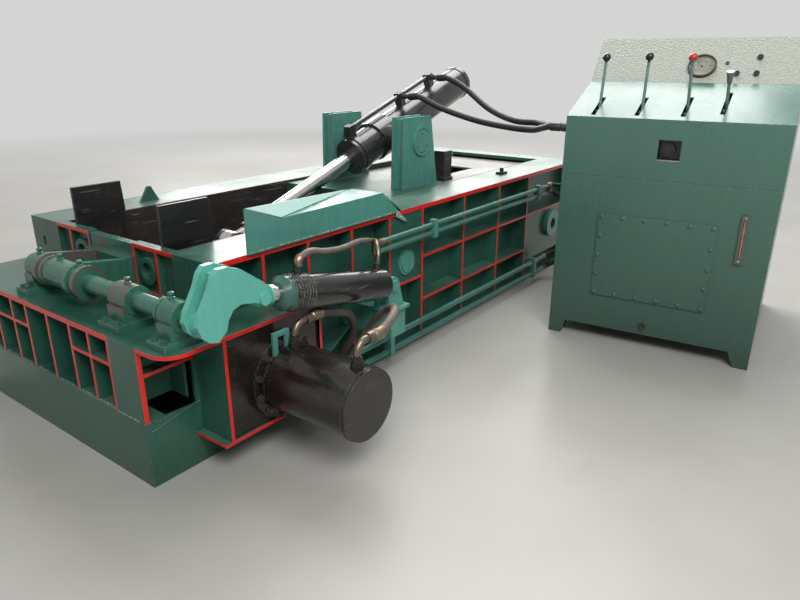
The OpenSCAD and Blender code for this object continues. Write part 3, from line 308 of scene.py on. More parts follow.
def ledge_red(m, x, y, z, nx, ny, nz):
    """Upright edges of the ledge's top plate, its outer plate and the end of its rail."""
    upright = nz.math("ABSOLUTE") < 0.6
    top_edge = (z > BOX_H - 0.0165) * upright
    outer = y < OUTER_Y - LEDGE_OUT + RED_DEPTH
    rail_end = (x < -1.7835) * (z < 0.16)
    return top_edge | outer | rail_end * upright


def hammered_panel(m, x, y, z):
    return z > UNIT_H + 0.174


def console_inside(m, x, y, z):
    """What shows through the slots of the console, painted black as painted shade."""
    u, d = unit_coordinates(x, y)
    return (z < d * 0.4169 + (UNIT_H - 0.002)) * u.between(0.004, 1.096) * (z < UNIT_H + 0.17)


def in_window(x, y, z, low, high):
    """The square window's opening, between two depths behind the unit's front."""
    u, d = unit_coordinates(x, y)
    return u.between(*WINDOW_U) * z.between(*WINDOW_Z) * d.between(low, high)


# The square window's inner faces, painted black as painted shade
def square_window(m, x, y, z):
    return in_window(x, y, z, 0.002, 0.06)


# The unit's fittings inside the window, painted near black as painted shade
def window_inside(m, x, y, z):
    return in_window(x, y, z, 0.001, 1.0)


def cover_sheet(m, x, y, z):
    return x > 0.566


def cell_sills(m, x, y, z):
    return (x < FRONT_X + 0.012) * z.between(BAND_H - 0.004, BAND_H + 0.004) * y.between(-0.70, 0.70)


def guard_foot(m, x, y, z):
    return (z < 0.814) * (y < -0.728) * x.between(-1.44, -0.36)


def worn_rings(m, x, y, z):
    """Raised rings of the turn-out shaft, where the paint is rubbed through."""
    across, up = x - SHAFT_X, z - SHAFT_Z
    outside = across * across + up * up > 0.0031
    rings = y.between(-0.58, -0.465) | y.between(-0.236, -0.206) | y.between(0.035, 0.10)
    return outside * rings * (z > 0.66) * m.noise(m.place(), 30, 4, 0.7).ramp(0.40, 0.52)


def fitting_feet(m, x, y, z):
    return z < 0.524


def front_gland(m, x, y, z):
    return x < -1.488


def rod_collar(m, x, y, z):
    return x < -1.574


def blackened(name, colour, rust=0.5, rough=0.42, streak=(3, 30, 30), scratches=0.5, coat=0.2, other=None,
              wear=(0.24, 0.22, 0.20)):
    """Black or oily steel: uneven film, brown bloom, fine bright scratches and worn edges."""
    m = Finish(name)
    place = m.place()
    rounded, edge = m.soft_edges(0.0025)
    broad = m.noise(place, 3.5, 5, 0.6)
    drawn = m.noise(m.stretched(place, streak), 1.0, 5, 0.65)
    fine = m.noise(place, 120, 3)
    base = m.mix((broad + drawn * 0.6).ramp(0.55, 1.05), tint(colour, 0.6), tint(colour, 1.9))
    bloom = m.noise(place, 9, 6, 0.7).ramp(0.56, 0.72) * rust
    base = m.mix(bloom, base, (0.075, 0.042, 0.022))
    marks = m.noise(m.stretched(place, (6, 90, 160)), 1.0, 2, 0.4).ramp(0.70, 0.74) * scratches
    base = m.mix(marks, base, (0.26, 0.25, 0.24))
    base = m.mix(edge * fine.ramp(0.4, 0.6) * 0.8, base, wear)
    if other:
        marked, tone = other
        base = m.mix(marked(m, *m.split(place)), base, m.mix(broad, tint(tone, 0.8), tint(tone, 1.2)))
    normal = m.bump(fine * 0.5 + drawn, 0.0012, 0.5, rounded)
    return m.set(colour=base, rough=drawn * 0.3 + bloom * 0.3 + (rough - 0.15), normal=normal, coat=coat,
                 coat_rough=0.15, specular=0.4)


def bare_steel(name, colour, rough=0.3, streak=(60, 4, 60), dirt=0.3, other=None):
    """Machined or plated metal with drawn marks and a little dirt."""
    m = Finish(name)
    place = m.place()
    rounded, edge = m.soft_edges(0.0015)
    drawn = m.noise(m.stretched(place, streak), 1.0, 4)
    smear = m.noise(place, 14, 4, 0.6).ramp(0.5, 0.75) * dirt
    base = m.mix(drawn, tint(colour, 0.8), tint(colour, 1.1))
    base = m.mix(smear, base, (0.09, 0.07, 0.05))
    metal = 1 - smear
    # Another tone over a marked part: real black paint on the fittings' feet, painted shade on the fittings
    # inside the unit's window
    if other:
        marked, tone = other
        paint_and_shade_part = marked(m, *m.split(place))
        base = m.mix(paint_and_shade_part, base, m.mix(drawn, tint(tone, 0.8), tint(tone, 1.2)))
        metal = metal * (1 - paint_and_shade_part)
    normal = m.bump(drawn, 0.0004, 0.3, rounded)
    return m.set(colour=base, rough=drawn * 0.12 + smear * 0.4 + rough, metal=metal, normal=normal)


def hose_cover(name, colour, pitch=0.012):
    """Rubber with a wrapped, slightly dusty cover that follows the hose."""
    m = Finish(name)
    place = m.place()
    along = m.node("ShaderNodeAttribute", {"attribute_name": "along"}, output="Fac")
    fine = m.noise(place, 140, 3)
    broad = m.noise(place, 12, 4)
    wrap = (along * (2 * math.pi / pitch)).math("SINE") * 0.5 + 0.5
    base = m.mix(broad.ramp(0.4, 0.7), colour, tint(colour, 1.8))
    base = m.mix(wrap * 0.25, base, tint(colour, 0.5))
    normal = m.bump(wrap * 0.8 + fine * 0.5, 0.0008, 0.6)
    return m.set(colour=base, rough=fine * 0.2 + 0.42, normal=normal)


def plastic(name, colour, rough=0.25):
    """Smooth plastic, a little paler where it is handled."""
    m = Finish(name)
    place = m.place()
    fine = m.noise(place, 220, 2)
    worn = m.noise(place, 30, 4).ramp(0.5, 0.75)
    return m.set(colour=m.mix(worn, colour, tint(colour, 1.7)), rough=worn * 0.15 + rough,
                 normal=m.bump(fine, 0.0003, 0.2), coat=0.3, coat_rough=0.08)


def lever_finish(name, knob, knob_from):
    """A green painted rod below, and the knob's colour above a height."""
    m = Finish(name)
    place = m.place()
    z = m.split(place)[2]
    fine = m.noise(place, 120, 3)
    rod = m.mix(fine.ramp(0.35, 0.65), (0.05, 0.16, 0.12), (0.20, 0.30, 0.26))
    grip = z > knob_from
    base = m.mix(grip, rod, knob)
    return m.set(colour=base, rough=0.32 - grip * 0.14 + fine * 0.06, normal=m.bump(fine, 0.0003, 0.3),
                 coat=0.2)


def bolt_finish():
    """Bolts on the ram's flange are black with oil, those of the bearings are painted over."""
    m = Finish("bolt_heads")
    place = m.place()
    y = m.split(place)[1]
    rounded, edge = m.soft_edges(0.0015)
    fine = m.noise(place, 90, 4)
    painted_over = y > -0.93
    base = m.mix(painted_over, (0.03, 0.026, 0.022), tint(PAINT, 0.9))
    base = m.mix(edge * fine.ramp(0.45, 0.6) * 0.7, base, (0.30, 0.30, 0.28))
    return m.set(colour=base, rough=fine * 0.2 + 0.3, normal=m.bump(fine, 0.0008, 0.5, rounded))


def glass_finish():
    m = Finish("gauge_glass")
    haze = m.noise(m.place(), 40, 3)
    return m.set(colour=(0.95, 0.97, 0.96), rough=haze * 0.05 + 0.02, transmission=1.0, ior=1.45)


finish = {
    "frame_green": painted("frame_green", PAINT, side_red),
    "front_green": painted("front_green", PAINT, front_red, chipped=cell_sills),
    "wall_green": painted("wall_green", PAINT, wall_red),
    "ledge_green": painted("ledge_green", PAINT, ledge_red),
    "deck_green": painted("deck_green", PAINT, gloss=0.42, other=(cover_sheet, (0.26, 0.25, 0.23))),
    "plain_green": painted("plain_green", PAINT),
    "shaft_green": painted("shaft_green", tint(PAINT, 1.35), gloss=0.20, grime=0.8,
                           other=(worn_rings, (0.10, 0.085, 0.07))),
    "light_green": painted("light_green", PAINT_LIGHT, gloss=0.26, brushed=0.7),
    "guard_green": painted("guard_green", PAINT_LIGHT, gloss=0.24, brushed=0.6, chipped=guard_foot),
    # The fold's paler paint is a painted reflection of the window light
    "fold_painted_reflection": painted("fold_painted_reflection", FOLD_PAINTED_REFLECTION, gloss=0.22, brushed=0.35, grime=0.3),
    "crank_green": painted("crank_green", CRANK_PAINT, gloss=0.26, grime=0.2, brushed=0.4),
    "pipe_green": painted("pipe_green", tint(PAINT_LIGHT, 0.6), gloss=0.18, grime=0.3),
    # The unit is painted darker low down as painted shade, and black in its square window as painted shade
    "unit_green": painted("unit_green", UNIT_PAINT, grime=0.2, gloss=0.26, shade_in_openings=square_window, brushed=0.25,
                          shade_toward_floor=(0.0, 1.15)),
    "console_green": painted("console_green", tint(UNIT_PAINT, 1.15), stipple=hammered_panel, grime=0.1,
                             gloss=0.20, shade_in_openings=console_inside, brushed=0.25),
    "plate_black": blackened("plate_black", (0.012, 0.011, 0.011), rust=0.45, rough=0.42),
    "liner_black": blackened("liner_black", (0.016, 0.013, 0.012), rust=0.8, rough=0.55, scratches=0.8),
    "oily_barrel": blackened("oily_barrel", (0.012, 0.009, 0.007), rust=0.35, rough=0.24, streak=(14, 4, 14),
                             scratches=0.15, coat=0.3),
    "turnout_black": blackened("turnout_black", (0.012, 0.010, 0.010), rust=0.25, rough=0.22,
                               streak=(4, 16, 16), scratches=0.7, coat=0.4,
                               other=(front_gland, tint(PAINT_LIGHT, 0.45)), wear=(0.55, 0.54, 0.52)),
    "lid_barrel": blackened("lid_barrel", (0.024, 0.023, 0.025), rust=0.2, rough=0.28, streak=(4, 16, 16),
                            scratches=0.2, coat=0.5),
    "black_fitting": blackened("black_fitting", (0.014, 0.013, 0.013), rust=0.3, rough=0.30,
                               wear=(0.3, 0.28, 0.26)),
    "chrome": bare_steel("chrome", (0.60, 0.575, 0.55), rough=0.14, streak=(5, 60, 60), dirt=0.2,
                         other=(rod_collar, CRANK_PAINT)),
    "bright_steel": bare_steel("bright_steel", (0.40, 0.40, 0.38), rough=0.28),
    "gauge_frame": bare_steel("gauge_frame", (0.17, 0.19, 0.17), rough=0.30, dirt=0.4),
    "dark_fitting": bare_steel("dark_fitting", (0.20, 0.165, 0.13), rough=0.32, dirt=0.7,
                               other=(fitting_feet, (0.012, 0.011, 0.010))),
    # Fittings inside the square window are painted near black as painted shade
    "unit_fitting": bare_steel("unit_fitting", (0.10, 0.095, 0.09), rough=0.34, dirt=0.5,
                               other=(window_inside, (0.012, 0.013, 0.013))),
    "crimp": bare_steel("crimp", (0.27, 0.215, 0.15), rough=0.34, dirt=0.6),
    "rubber": hose_cover("rubber", (0.040, 0.033, 0.027)),
    "grey_rubber": hose_cover("grey_rubber", (0.105, 0.088, 0.072), pitch=0.02),
    "black_rubber": hose_cover("black_rubber", (0.012, 0.011, 0.011)),
    "black_plastic": plastic("black_plastic", KNOB_BLACK),
    "dial_white": plastic("dial_white", (0.40, 0.385, 0.29), 0.4),
    "level_red": plastic("level_red", (0.30, 0.165, 0.13), 0.2),
    "bolt_heads": bolt_finish(),
}

NODE_FINISH = {
    "front_box": "front_green", "front_end_wall": "wall_green", "near_side_frame": "frame_green",
    "far_side_frame": "frame_green", "rear_end_plate": "plain_green", "base_plate": "plain_green",
    "cross_deck": "deck_green", "side_ledge": "ledge_green", "ram_tunnel": "plain_green",
    "shaft_bearings": "shaft_green", "hinge_blocks": "plain_green", "ram_bulkhead": "plain_green",
    "cylinder_towers": "light_green", "trunnion_keepers": "light_green", "guard_box": "guard_green",
    "cylinder_stool": "light_green", "hydraulic_pipes": "pipe_green", "side_bosses": "light_green",
    "pipe_clamps": "light_green", "inner_crank_plate": "crank_green", "outer_crank_plate": "crank_green",
    "turnout_shaft": "shaft_green", "turnout_arms": "shaft_green", "lid": "plate_black",
    "power_cabinet": "unit_green", "inspection_cover": "unit_green", "console": "console_green",
    "cover_screws": "unit_green", "chamber_liners": "liner_black", "guide_plates": "plate_black",
    "ram_mount_plate": "oily_barrel", "rear_block": "plate_black", "main_ram": "liner_black",
    "side_ram": "liner_black", "lid_barrel_fittings": "lid_barrel", "side_ram_barrel": "oily_barrel",
    "turnout_barrel": "turnout_black",
    "main_ram_barrel": "oily_barrel", "lid_barrel": "lid_barrel", "turnout_rod": "chrome", "lid_rod": "chrome",
    "bolts": "bolt_heads", "side_ram_fittings": "dark_fitting", "level_gauge": "gauge_frame",
    "unit_fittings": "unit_fitting", "gauge_bezel": "unit_fitting", "gauge_needle": "black_plastic",
    "lid_hinge_shaft": "bright_steel", "button_1": "black_plastic", "button_2": "black_plastic",
    "button_3": "black_plastic",
}


def dress(obj, material):
    obj.data.materials.clear()
    obj.data.materials.append(material)


for name, key in NODE_FINISH.items():
    dress(nodes[name], finish[key])
dress(nodes["gauge_glass"], glass_finish())
LEVER_KNOBS = (KNOB_BLACK, 1.548), (KNOB_BLACK, 1.548), (KNOB_RED, 1.560), (KNOB_GREY, 1.444)
for number, (knob, height) in enumerate(LEVER_KNOBS, 1):
    dress(nodes[f"lever_{number}"], lever_finish(f"lever_{number}_finish", knob, height))


# Making pieces
SHARP = math.radians(38)


def finished(bm, name, material, body="baler_frame", smooth=True, replace=(),
             blend=None):
    """A closed mesh as an object with its finish, riding its body, or left unattached in its place when a
    blend is given.
    """
    bmesh.ops.remove_doubles(bm, verts=bm.verts, dist=1e-6)
    bmesh.ops.recalc_face_normals(bm, faces=bm.faces)
    mesh = bpy.data.meshes.new(name)
    bm.to_mesh(mesh)
    bm.free()
    for face in mesh.polygons:
        face.use_smooth = smooth
    obj = bpy.data.objects.new(name, mesh)
    scene.collection.objects.link(obj)
    if smooth:
        mesh.set_sharp_from_angle(angle=SHARP)
    mesh.materials.append(finish[material])
    if blend:
        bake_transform(obj)
    else:
        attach(obj, body)
    if replace:
        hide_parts(*replace)
    return obj


def smooth_route(points, steps=8):
    """The curve that the solids follow, through points in millimetres, with straight ends."""
    end = 0.004
    places = [at(*p) for p in points]
    route = []
    for i in range(len(places) - 1):
        a, b = places[max(i - 1, 0)], places[i]
        c, d = places[i + 1], places[min(i + 2, len(places) - 1)]
        for k in range(steps):
            t = k / steps
            route.append(0.5 * (2 * b + (c - a) * t + (2 * a - 5 * b + 4 * c - d) * t * t
                                + (3 * b - a - 3 * c + d) * t * t * t))
    route.append(places[-1])
    route.insert(1, route[0] + (places[1] - places[0]).normalized() * end)
    route.insert(-1, route[-1] + (places[-2] - places[-1]).normalized() * end)
    return route


def frames_along(route):
    """A turning frame at each point, without twist, and the distance travelled."""
    out = []
    travelled = 0
    side = None
    for i, point in enumerate(route):
        ahead = (route[min(i + 1, len(route) - 1)] - route[max(i - 1, 0)]).normalized()
        if side is None:
            side = ahead.orthogonal().normalized()
        side = (side - ahead * side.dot(ahead)).normalized()
        up = ahead.cross(side)
        if i:
            travelled += (point - route[i - 1]).length
        turn = Matrix((side, up, ahead)).transposed().to_4x4()
        out.append((Matrix.Translation(point) @ turn, travelled))
    return out


def sweep(bm, route, radius, sides=16, stop=math.inf):
    """A closed tube along a route, up to a distance; radius is a number or a function of the distance."""
    layer = bm.verts.layers.float.get("along") or bm.verts.layers.float.new("along")
    rings = []
    for place, travelled in frames_along(route):
        if travelled > stop + 1e-9:
            break
        r = radius(travelled) if callable(radius) else radius
        verts = bmesh.ops.create_circle(bm, cap_ends=False, segments=sides, radius=r, matrix=place)["verts"]
        for v in verts:
            v[layer] = travelled
        rings.append(list({e for v in verts for e in v.link_edges}))
    for one, two in zip(rings, rings[1:]):
        bmesh.ops.bridge_loops(bm, edges=one + two)
    bmesh.ops.holes_fill(bm, edges=rings[0] + rings[-1], sides=sides)


def finely(route, step):
    """The same route with points no farther apart than about a step."""
    out = [route[0]]
    for a, b in zip(route, route[1:]):
        count = max(1, round((b - a).length / step))
        out += [a.lerp(b, (k + 1) / count) for k in range(count)]
    return out


def turned(bm, profile, place, sides):
    """A turned piece: profile is a list of (radius, height) along the place's z."""
    verts = [bm.verts.new((r, 0, h)) for r, h in profile]
    edges = [bm.edges.new(pair) for pair in zip(verts, verts[1:])]
    bmesh.ops.spin(bm, geom=verts + edges, cent=(0, 0, 0), axis=(0, 0, 1), angle=2 * math.pi, steps=sides,
                   use_merge=True)
    new = [v for v in bm.verts if not v.tag]
    bmesh.ops.transform(bm, matrix=place, verts=new)
    for v in new:
        v.tag = True


# Hoses: the routes are those of the solids
HOSES = {
    "side_hose_a": ("side_ram_hoses", 0.0190, "rubber", None, [
        (630.4, -252, 573), (675, -252, 573), (765, -258, 553), (870, -250, 510), (935, -220, 405),
        (940, -160, 290), (940, -95, 205), (975, -60, 168), (1039.7, -60, 168)]),
    "side_hose_b": ("side_ram_hoses", 0.0190, "grey_rubber", None, [
        (630.4, -576, 573), (690, -576, 573), (810, -545, 600), (905, -455, 572), (962, -310, 450),
        (950, -195, 260), (935, -115, 140), (972, -60, 86), (1039.7, -60, 86)]),
    "turnout_hose_a": ("turnout_hoses", 0.0140, "grey_rubber", "turnout_cylinder", [
        (590.1, -242, 795.3), (596.4, -242, 824.9), (660, -240, 840), (760, -225, 815), (900, -190, 790),
        (1080, -140, 775), (1240, -85, 735), (1320, -60, 705), (1364.7, -60, 705)]),
    "turnout_hose_b": ("turnout_hoses", 0.0100, "crimp", "turnout_cylinder", [
        (1083.2, -242, 691), (1092, -242, 732.6), (1122, -208, 768), (1190, -140, 757), (1250, -85, 700),
        (1288, -60, 659), (1324.7, -60, 659)]),
    "lid_hose_a": ("lid_hoses", 0.0190, "black_rubber", "lid_cylinder", [
        (2565.8, 657.7, 1329), (2565.8, 570, 1329), (2600, 420, 1262), (2640, 180, 1195), (2640, -60, 1165),
        (2590, -240, 1165), (2505, -345, 1188), (2443.5, -417.2, 1205), (2450.8, -491.8, 1205)]),
    "lid_hose_b": ("lid_hoses", 0.0190, "black_rubber", "lid_cylinder", [
        (2903.3, 657.7, 1442), (2903.3, 575, 1442), (2890, 430, 1385), (2800, 180, 1260), (2690, -60, 1205),
        (2640, -240, 1203), (2560, -345, 1205), (2503.3, -411.6, 1205), (2510.6, -486.2, 1205)]),
    "supply_hose_a": ("supply_hoses", 0.0160, "black_rubber", None, [
        (3300.3, -60, 705), (3360, -60, 705), (3430, -140, 690), (3450, -270, 655), (3443.8, -369.6, 640),
        (3447.2, -404.4, 640)]),
    "supply_hose_b": ("supply_hoses", 0.0160, "black_rubber", None, [
        (3300.3, -60, 659), (3345, -60, 659), (3392, -135, 625), (3385, -270, 575), (3364.3, -378, 560),
        (3367.6, -412.2, 560)]),
    "supply_hose_c": ("supply_hoses", 0.0160, "black_rubber", None, [
        (3300.3, -60, 168), (3360, -60, 168), (3430, -140, 220), (3450, -270, 285), (3443.8, -369.6, 300),
        (3447.2, -404.4, 300)]),
    "supply_hose_d": ("supply_hoses", 0.0160, "black_rubber", None, [
        (3300.3, -60, 86), (3345, -60, 86), (3392, -135, 125), (3385, -270, 200), (3364.3, -378, 220),
        (3367.6, -412.2, 220)]),
}


HOSE_STEP, CRIMP_STEP = 0.012, 0.003
CRIMP_LENGTH = 3.4
CRIMP_GROOVES = 5


def crimp_profile(length, radius):
    """Radius along a pressed hose end: a collar, then pressed grooves."""
    def at_distance(s):
        t = s / length
        if t < 0.12:
            return radius * 1.12
        groove = 0.5 + 0.5 * math.cos(t * 2 * math.pi * CRIMP_GROOVES)
        return radius * (1.22 + 0.10 * groove)
    return at_distance


for name, (node, radius, material, moving, points) in HOSES.items():
    route = finely(smooth_route(points), HOSE_STEP)
    blend = (moving, "baler_frame", tuple(route[0]), tuple(route[-1])) if moving else None
    bm = bmesh.new()
    sweep(bm, route, radius)
    finished(bm, name, material, replace=(node,), blend=blend)
    if name == "turnout_hose_b":
        continue
    bm = bmesh.new()
    crimp = radius * CRIMP_LENGTH
    dense = finely(route, CRIMP_STEP)
    sweep(bm, dense, crimp_profile(crimp, radius), 20, crimp)
    sweep(bm, dense[::-1], crimp_profile(crimp, radius), 20, crimp)
    finished(bm, name + "_crimps", "black_fitting" if node == "lid_hoses" else "crimp", blend=blend)


# Dial of the pressure gauge
DIAL_PLACE = panel_matrix(0.587, 0.106)
DIAL_FROM, DIAL_SWEEP = 225, 270
DIAL_MAX = 50


def dial_angle(value):
    return math.radians(DIAL_FROM - DIAL_SWEEP * value / DIAL_MAX)


def gauge_dial():
    bm = bmesh.new()
    face = DIAL_PLACE @ Matrix.Translation((0, 0, 0.0043))
    bmesh.ops.create_circle(bm, cap_ends=True, segments=64, radius=0.0655, matrix=face)
    finished(bm, "gauge_face", "dial_white", smooth=False)
    bm = bmesh.new()
    for value in range(DIAL_MAX + 1):
        length, width = (0.011, 0.0012) if value % 5 == 0 else (0.006, 0.0007)
        bmesh.ops.create_cube(bm, size=1, matrix=DIAL_PLACE @ Matrix.Rotation(dial_angle(value), 4, "Z")
                              @ Matrix.Translation((0.0600 - length / 2, 0, 0.0047))
                              @ Matrix.Diagonal((length, width, 0.0006, 1)))
    finished(bm, "gauge_marks", "black_plastic", smooth=False)
    for number, value in enumerate(range(0, DIAL_MAX + 1, 10)):
        text = bpy.data.curves.new(f"gauge_number_{number}", "FONT")
        text.body = str(value)
        text.size = 0.013
        text.align_x = "CENTER"
        text.align_y = "CENTER"
        text.extrude = 0.0003
        flat = bpy.data.objects.new("flat", text)
        scene.collection.objects.link(flat)
        bpy.context.view_layer.update()
        mesh = bpy.data.meshes.new_from_object(flat)
        bpy.data.objects.remove(flat)
        angle = dial_angle(value)
        spot = Matrix.Translation((0.040 * math.cos(angle), 0.040 * math.sin(angle), 0.0048))
        mesh.transform(DIAL_PLACE @ spot)
        bm = bmesh.new()
        bm.from_mesh(mesh)
        finished(bm, f"gauge_number_{number}", "black_plastic", smooth=False)


gauge_dial()


# Weld beads along the main seams
def weld(name, start, end, radius=0.0045):
    """A rippled bead between two places in millimetres."""
    a, b = at(*start), at(*end)
    count = max(2, round((b - a).length / 0.006))
    route = [a.lerp(b, k / count) for k in range(count + 1)]

    def rippled(s):
        return radius * (0.82 + 0.22 * abs(math.sin(s * 260)) + random.uniform(-0.08, 0.08))

    bm = bmesh.new()
    sweep(bm, route, rippled, 8)
    finished(bm, name, "plain_green")


weld("front_band_weld", (0, 190, 277), (0, 1290, 277))
weld("front_top_weld", (375, 20, 590), (375, 560, 590))
weld("front_top_weld_far", (375, 920, 590), (375, 1460, 590))
weld("near_corner_weld", (0, 0, 12), (0, 0, 236))
weld("near_base_weld", (20, 0, 236), (245, 0, 276))
weld("guard_weld", (560, 4, 806), (1550, 4, 806), 0.004)
for number, y in enumerate((400, 496, 984, 1080)):
    weld(f"tower_weld_{number}", (2155, y, 792), (2525, y, 792), 0.006)


# Grease nipples on the hub and the bearings
def nipple(name, place, body):
    """A turned grease nipple, standing on a place."""
    bm = bmesh.new()
    turned(bm, [(0, 0), (0.014, 0), (0.014, 0.006), (0.009, 0.008), (0.009, 0.014), (0.012, 0.015),
                (0.012, 0.024), (0.006, 0.027), (0, 0.028)], Matrix.Translation(place), 16)
    finished(bm, name, "shaft_green", body)


for number, y in enumerate((565, 720)):
    nipple(f"hub_nipple_{number}", at(135, y, 758), "turnout_gear")
for number, y in enumerate((-60, 217, 895)):
    nipple(f"bearing_nipple_{number}", at(135, y, 754), "baler_frame")


def bar(bm, low, high, place):
    """A straight bar between two corners of a frame."""
    low, high = Vector(low), Vector(high)
    bmesh.ops.create_cube(bm, size=1, matrix=place @ Matrix.Translation((low + high) / 2)
                          @ Matrix.Diagonal((*(high - low), 1)))


def round_edges(bm, width):
    bmesh.ops.bevel(bm, geom=bm.edges[:], offset=width, segments=2, profile=0.5, affect="EDGES", material=-1)


# Lifting lug on the neck of the side ram
bm = bmesh.new()
outline = [(455, 446), (455, 546), (541, 546), (541, 450), (519, 450), (519, 526), (477, 526), (477, 448)]
front = bm.faces.new([bm.verts.new(at(x, -206, z)) for x, z in outline])
made = bmesh.ops.extrude_face_region(bm, geom=[front])
moved = [v for v in made["geom"] if isinstance(v, bmesh.types.BMVert)]
bmesh.ops.translate(bm, vec=(0, -0.017, 0), verts=moved)
bmesh.ops.recalc_face_normals(bm, faces=bm.faces)
round_edges(bm, 0.002)
finished(bm, "ram_lug", "light_green", smooth=False)

# Folded corner of the guard's top sheet, painted much paler than the guard: a painted reflection of the window
# light, so it reads as bright as the rest of the top
bm = bmesh.new()
corners = [bm.verts.new(at(*p)) for p in ((549, 5, 1000), (746, 5, 928), (1404, 199, 931), (747, 52, 924))]
for a, b, c in ((0, 1, 2), (0, 3, 1), (1, 3, 2), (0, 2, 3)):
    bm.faces.new((corners[a], corners[b], corners[c]))
bmesh.ops.recalc_face_normals(bm, faces=bm.faces)
round_edges(bm, 0.0008)
finished(bm, "guard_fold", "fold_painted_reflection", smooth=False)

# Lower lip of the square window
bm = bmesh.new()
bar(bm, (WINDOW_U[0], 0.0005, 1.0665), (WINDOW_U[1], 0.020, 1.0715), unit_matrix())
bar(bm, (WINDOW_U[0], -0.0015, 1.0640), (WINDOW_U[1], 0.0006, 1.0700), unit_matrix())
round_edges(bm, 0.0006)
finished(bm, "window_lip", "bright_steel", smooth=False)

# Sight tube of the level gauge
bm = bmesh.new()
foot = unit_matrix() @ Matrix.Translation((LEVEL_U, -0.013, 0.610))
turned(bm, [(0, 0), (0.0055, 0), (0.0055, 0.185), (0, 0.185)], foot, 20)
finished(bm, "level_tube", "level_red")
bm = bmesh.new()
for z in (0.590, 0.815):
    outwards = Matrix.Translation((LEVEL_U, -0.016, z)) @ Matrix.Rotation(math.radians(90), 4, "X")
    turned(bm, [(0, 0), (0.008, 0), (0.008, 0.005), (0.005, 0.008), (0, 0.008)], unit_matrix() @ outwards, 20)
finished(bm, "level_screws", "bright_steel")


# Floor, light and camera
BACKGROUND = (0.66, 0.66, 0.655)
SEEN_BY = ("Is Camera Ray", "Is Glossy Ray", "Is Transmission Ray")


def floor_finish():
    """A pale sealed floor that fades into the background far away."""
    m = Finish("floor")
    place = m.place()
    x, y, z = m.split(place)
    broad = m.noise(place, 0.7, 4)
    fine = m.noise(place, 18, 4)
    base = m.mix(broad.ramp(0.35, 0.7), (0.39, 0.38, 0.35), (0.47, 0.46, 0.43))
    m.set(colour=base, rough=broad * 0.18 + 0.26, normal=m.bump(fine, 0.0008, 0.25), specular=0.35)
    far = (x * x + y * y).math("SQRT").ramp(5.0, 13.0)
    camera_ray, glossy_ray, clear_ray = [m.node("ShaderNodeLightPath", output=ray) for ray in SEEN_BY]
    glow = m.node("ShaderNodeEmission", {}, {"Color": (*BACKGROUND, 1), "Strength": 1.0})
    both = m.node("ShaderNodeMixShader", {}, {0: far * (camera_ray | glossy_ray | clear_ray), 2: glow})
    m.tree.links.new(m.shader.outputs[0], both.socket.node.inputs[1])
    output = next(n for n in m.tree.nodes if n.type == "OUTPUT_MATERIAL")
    m.tree.links.new(both.socket, output.inputs["Surface"])
    return m.material


bm = bmesh.new()
bmesh.ops.create_grid(bm, x_segments=1, y_segments=1, size=40)
mesh = bpy.data.meshes.new("floor")
bm.to_mesh(mesh)
bm.free()
floor = bpy.data.objects.new("floor", mesh)
scene.collection.objects.link(floor)
mesh.materials.append(floor_finish())


def lamp(name, place, target, size, power, colour=(1, 1, 1)):
    """A soft rectangular lamp that looks at a target."""
    light = bpy.data.lights.new(name, "AREA")
    light.shape = "RECTANGLE"
    light.size, light.size_y = size
    light.energy = power
    light.color = colour
    obj = bpy.data.objects.new(name, light)
    scene.collection.objects.link(obj)
    obj.location = place
    obj.rotation_euler = (Vector(target) - Vector(place)).to_track_quat("-Z", "Y").to_euler()


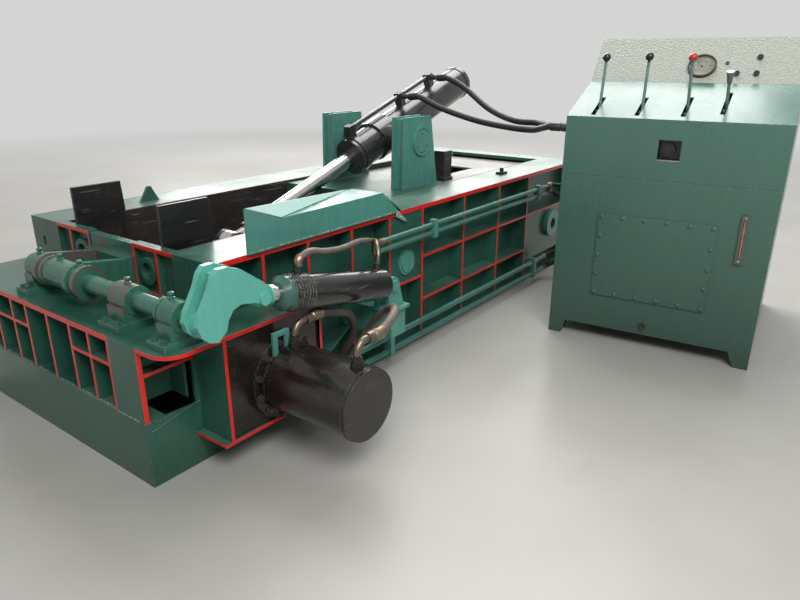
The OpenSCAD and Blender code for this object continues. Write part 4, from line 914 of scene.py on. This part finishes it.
lamp("key", (-3.4, -4.4, 4.8), (0.4, -0.9, 0.9), (3.4, 2.4), 290)
lamp("roof", (3.2, 0.6, 6.5), (0.3, -0.4, 0.4), (5.0, 4.0), 380)
lamp("window", (7.5, 6.0, 4.4), (0.0, 0, 0.8), (9.0, 3.0), 620, (1.0, 0.99, 0.96))


def world_light():
    """Soft light all round, brighter behind the baler than on the camera's side."""
    world = bpy.data.worlds.new("studio")
    scene.world = world
    world.use_nodes = True
    tree = world.node_tree
    background = tree.nodes["Background"]
    place = tree.nodes.new("ShaderNodeTexCoord")
    along = tree.nodes.new("ShaderNodeVectorMath")
    along.operation = "DOT_PRODUCT"
    along.inputs[1].default_value = (0.80, 0.60, 0.0)
    amount = tree.nodes.new("ShaderNodeMapRange")
    amount.inputs["From Min"].default_value = -0.4
    amount.inputs["From Max"].default_value = 0.7
    mix = tree.nodes.new("ShaderNodeMix")
    mix.data_type = "RGBA"
    mix.inputs[6].default_value = (0.20, 0.205, 0.21, 1)
    mix.inputs[7].default_value = (*BACKGROUND, 1)
    rays = tree.nodes.new("ShaderNodeLightPath")
    factor = amount.outputs[0]
    tree.links.new(place.outputs["Generated"], along.inputs[0])
    tree.links.new(along.outputs["Value"], amount.inputs["Value"])
    for ray in SEEN_BY:
        either = tree.nodes.new("ShaderNodeMath")
        either.operation = "MAXIMUM"
        tree.links.new(factor, either.inputs[0])
        tree.links.new(rays.outputs[ray], either.inputs[1])
        factor = either.outputs[0]
    tree.links.new(factor, mix.inputs[0])
    tree.links.new(mix.outputs[2], background.inputs["Color"])


world_light()

# The camera: its focal length in pixels of the picture's width, and its angles in degrees
FOCAL, PICTURE_WIDTH, SENSOR = 650.6, 800, 36
CAMERA_PLACE = (-3.1293, -2.7575, 1.550)
DOWN, HEADING, ROLL = 20.126, 36.64, 0.149
camera = bpy.data.objects.new("camera", bpy.data.cameras.new("camera"))
scene.collection.objects.link(camera)
camera.data.sensor_width = SENSOR
camera.data.lens = FOCAL / PICTURE_WIDTH * SENSOR
turn = (Euler((math.radians(90 - DOWN), 0, math.radians(HEADING - 90))).to_matrix().to_4x4()
        @ Matrix.Rotation(math.radians(ROLL), 4, "Z"))
camera.matrix_world = Matrix.Translation(CAMERA_PLACE) @ turn
scene.camera = camera
scene.view_settings.view_transform = "Standard"
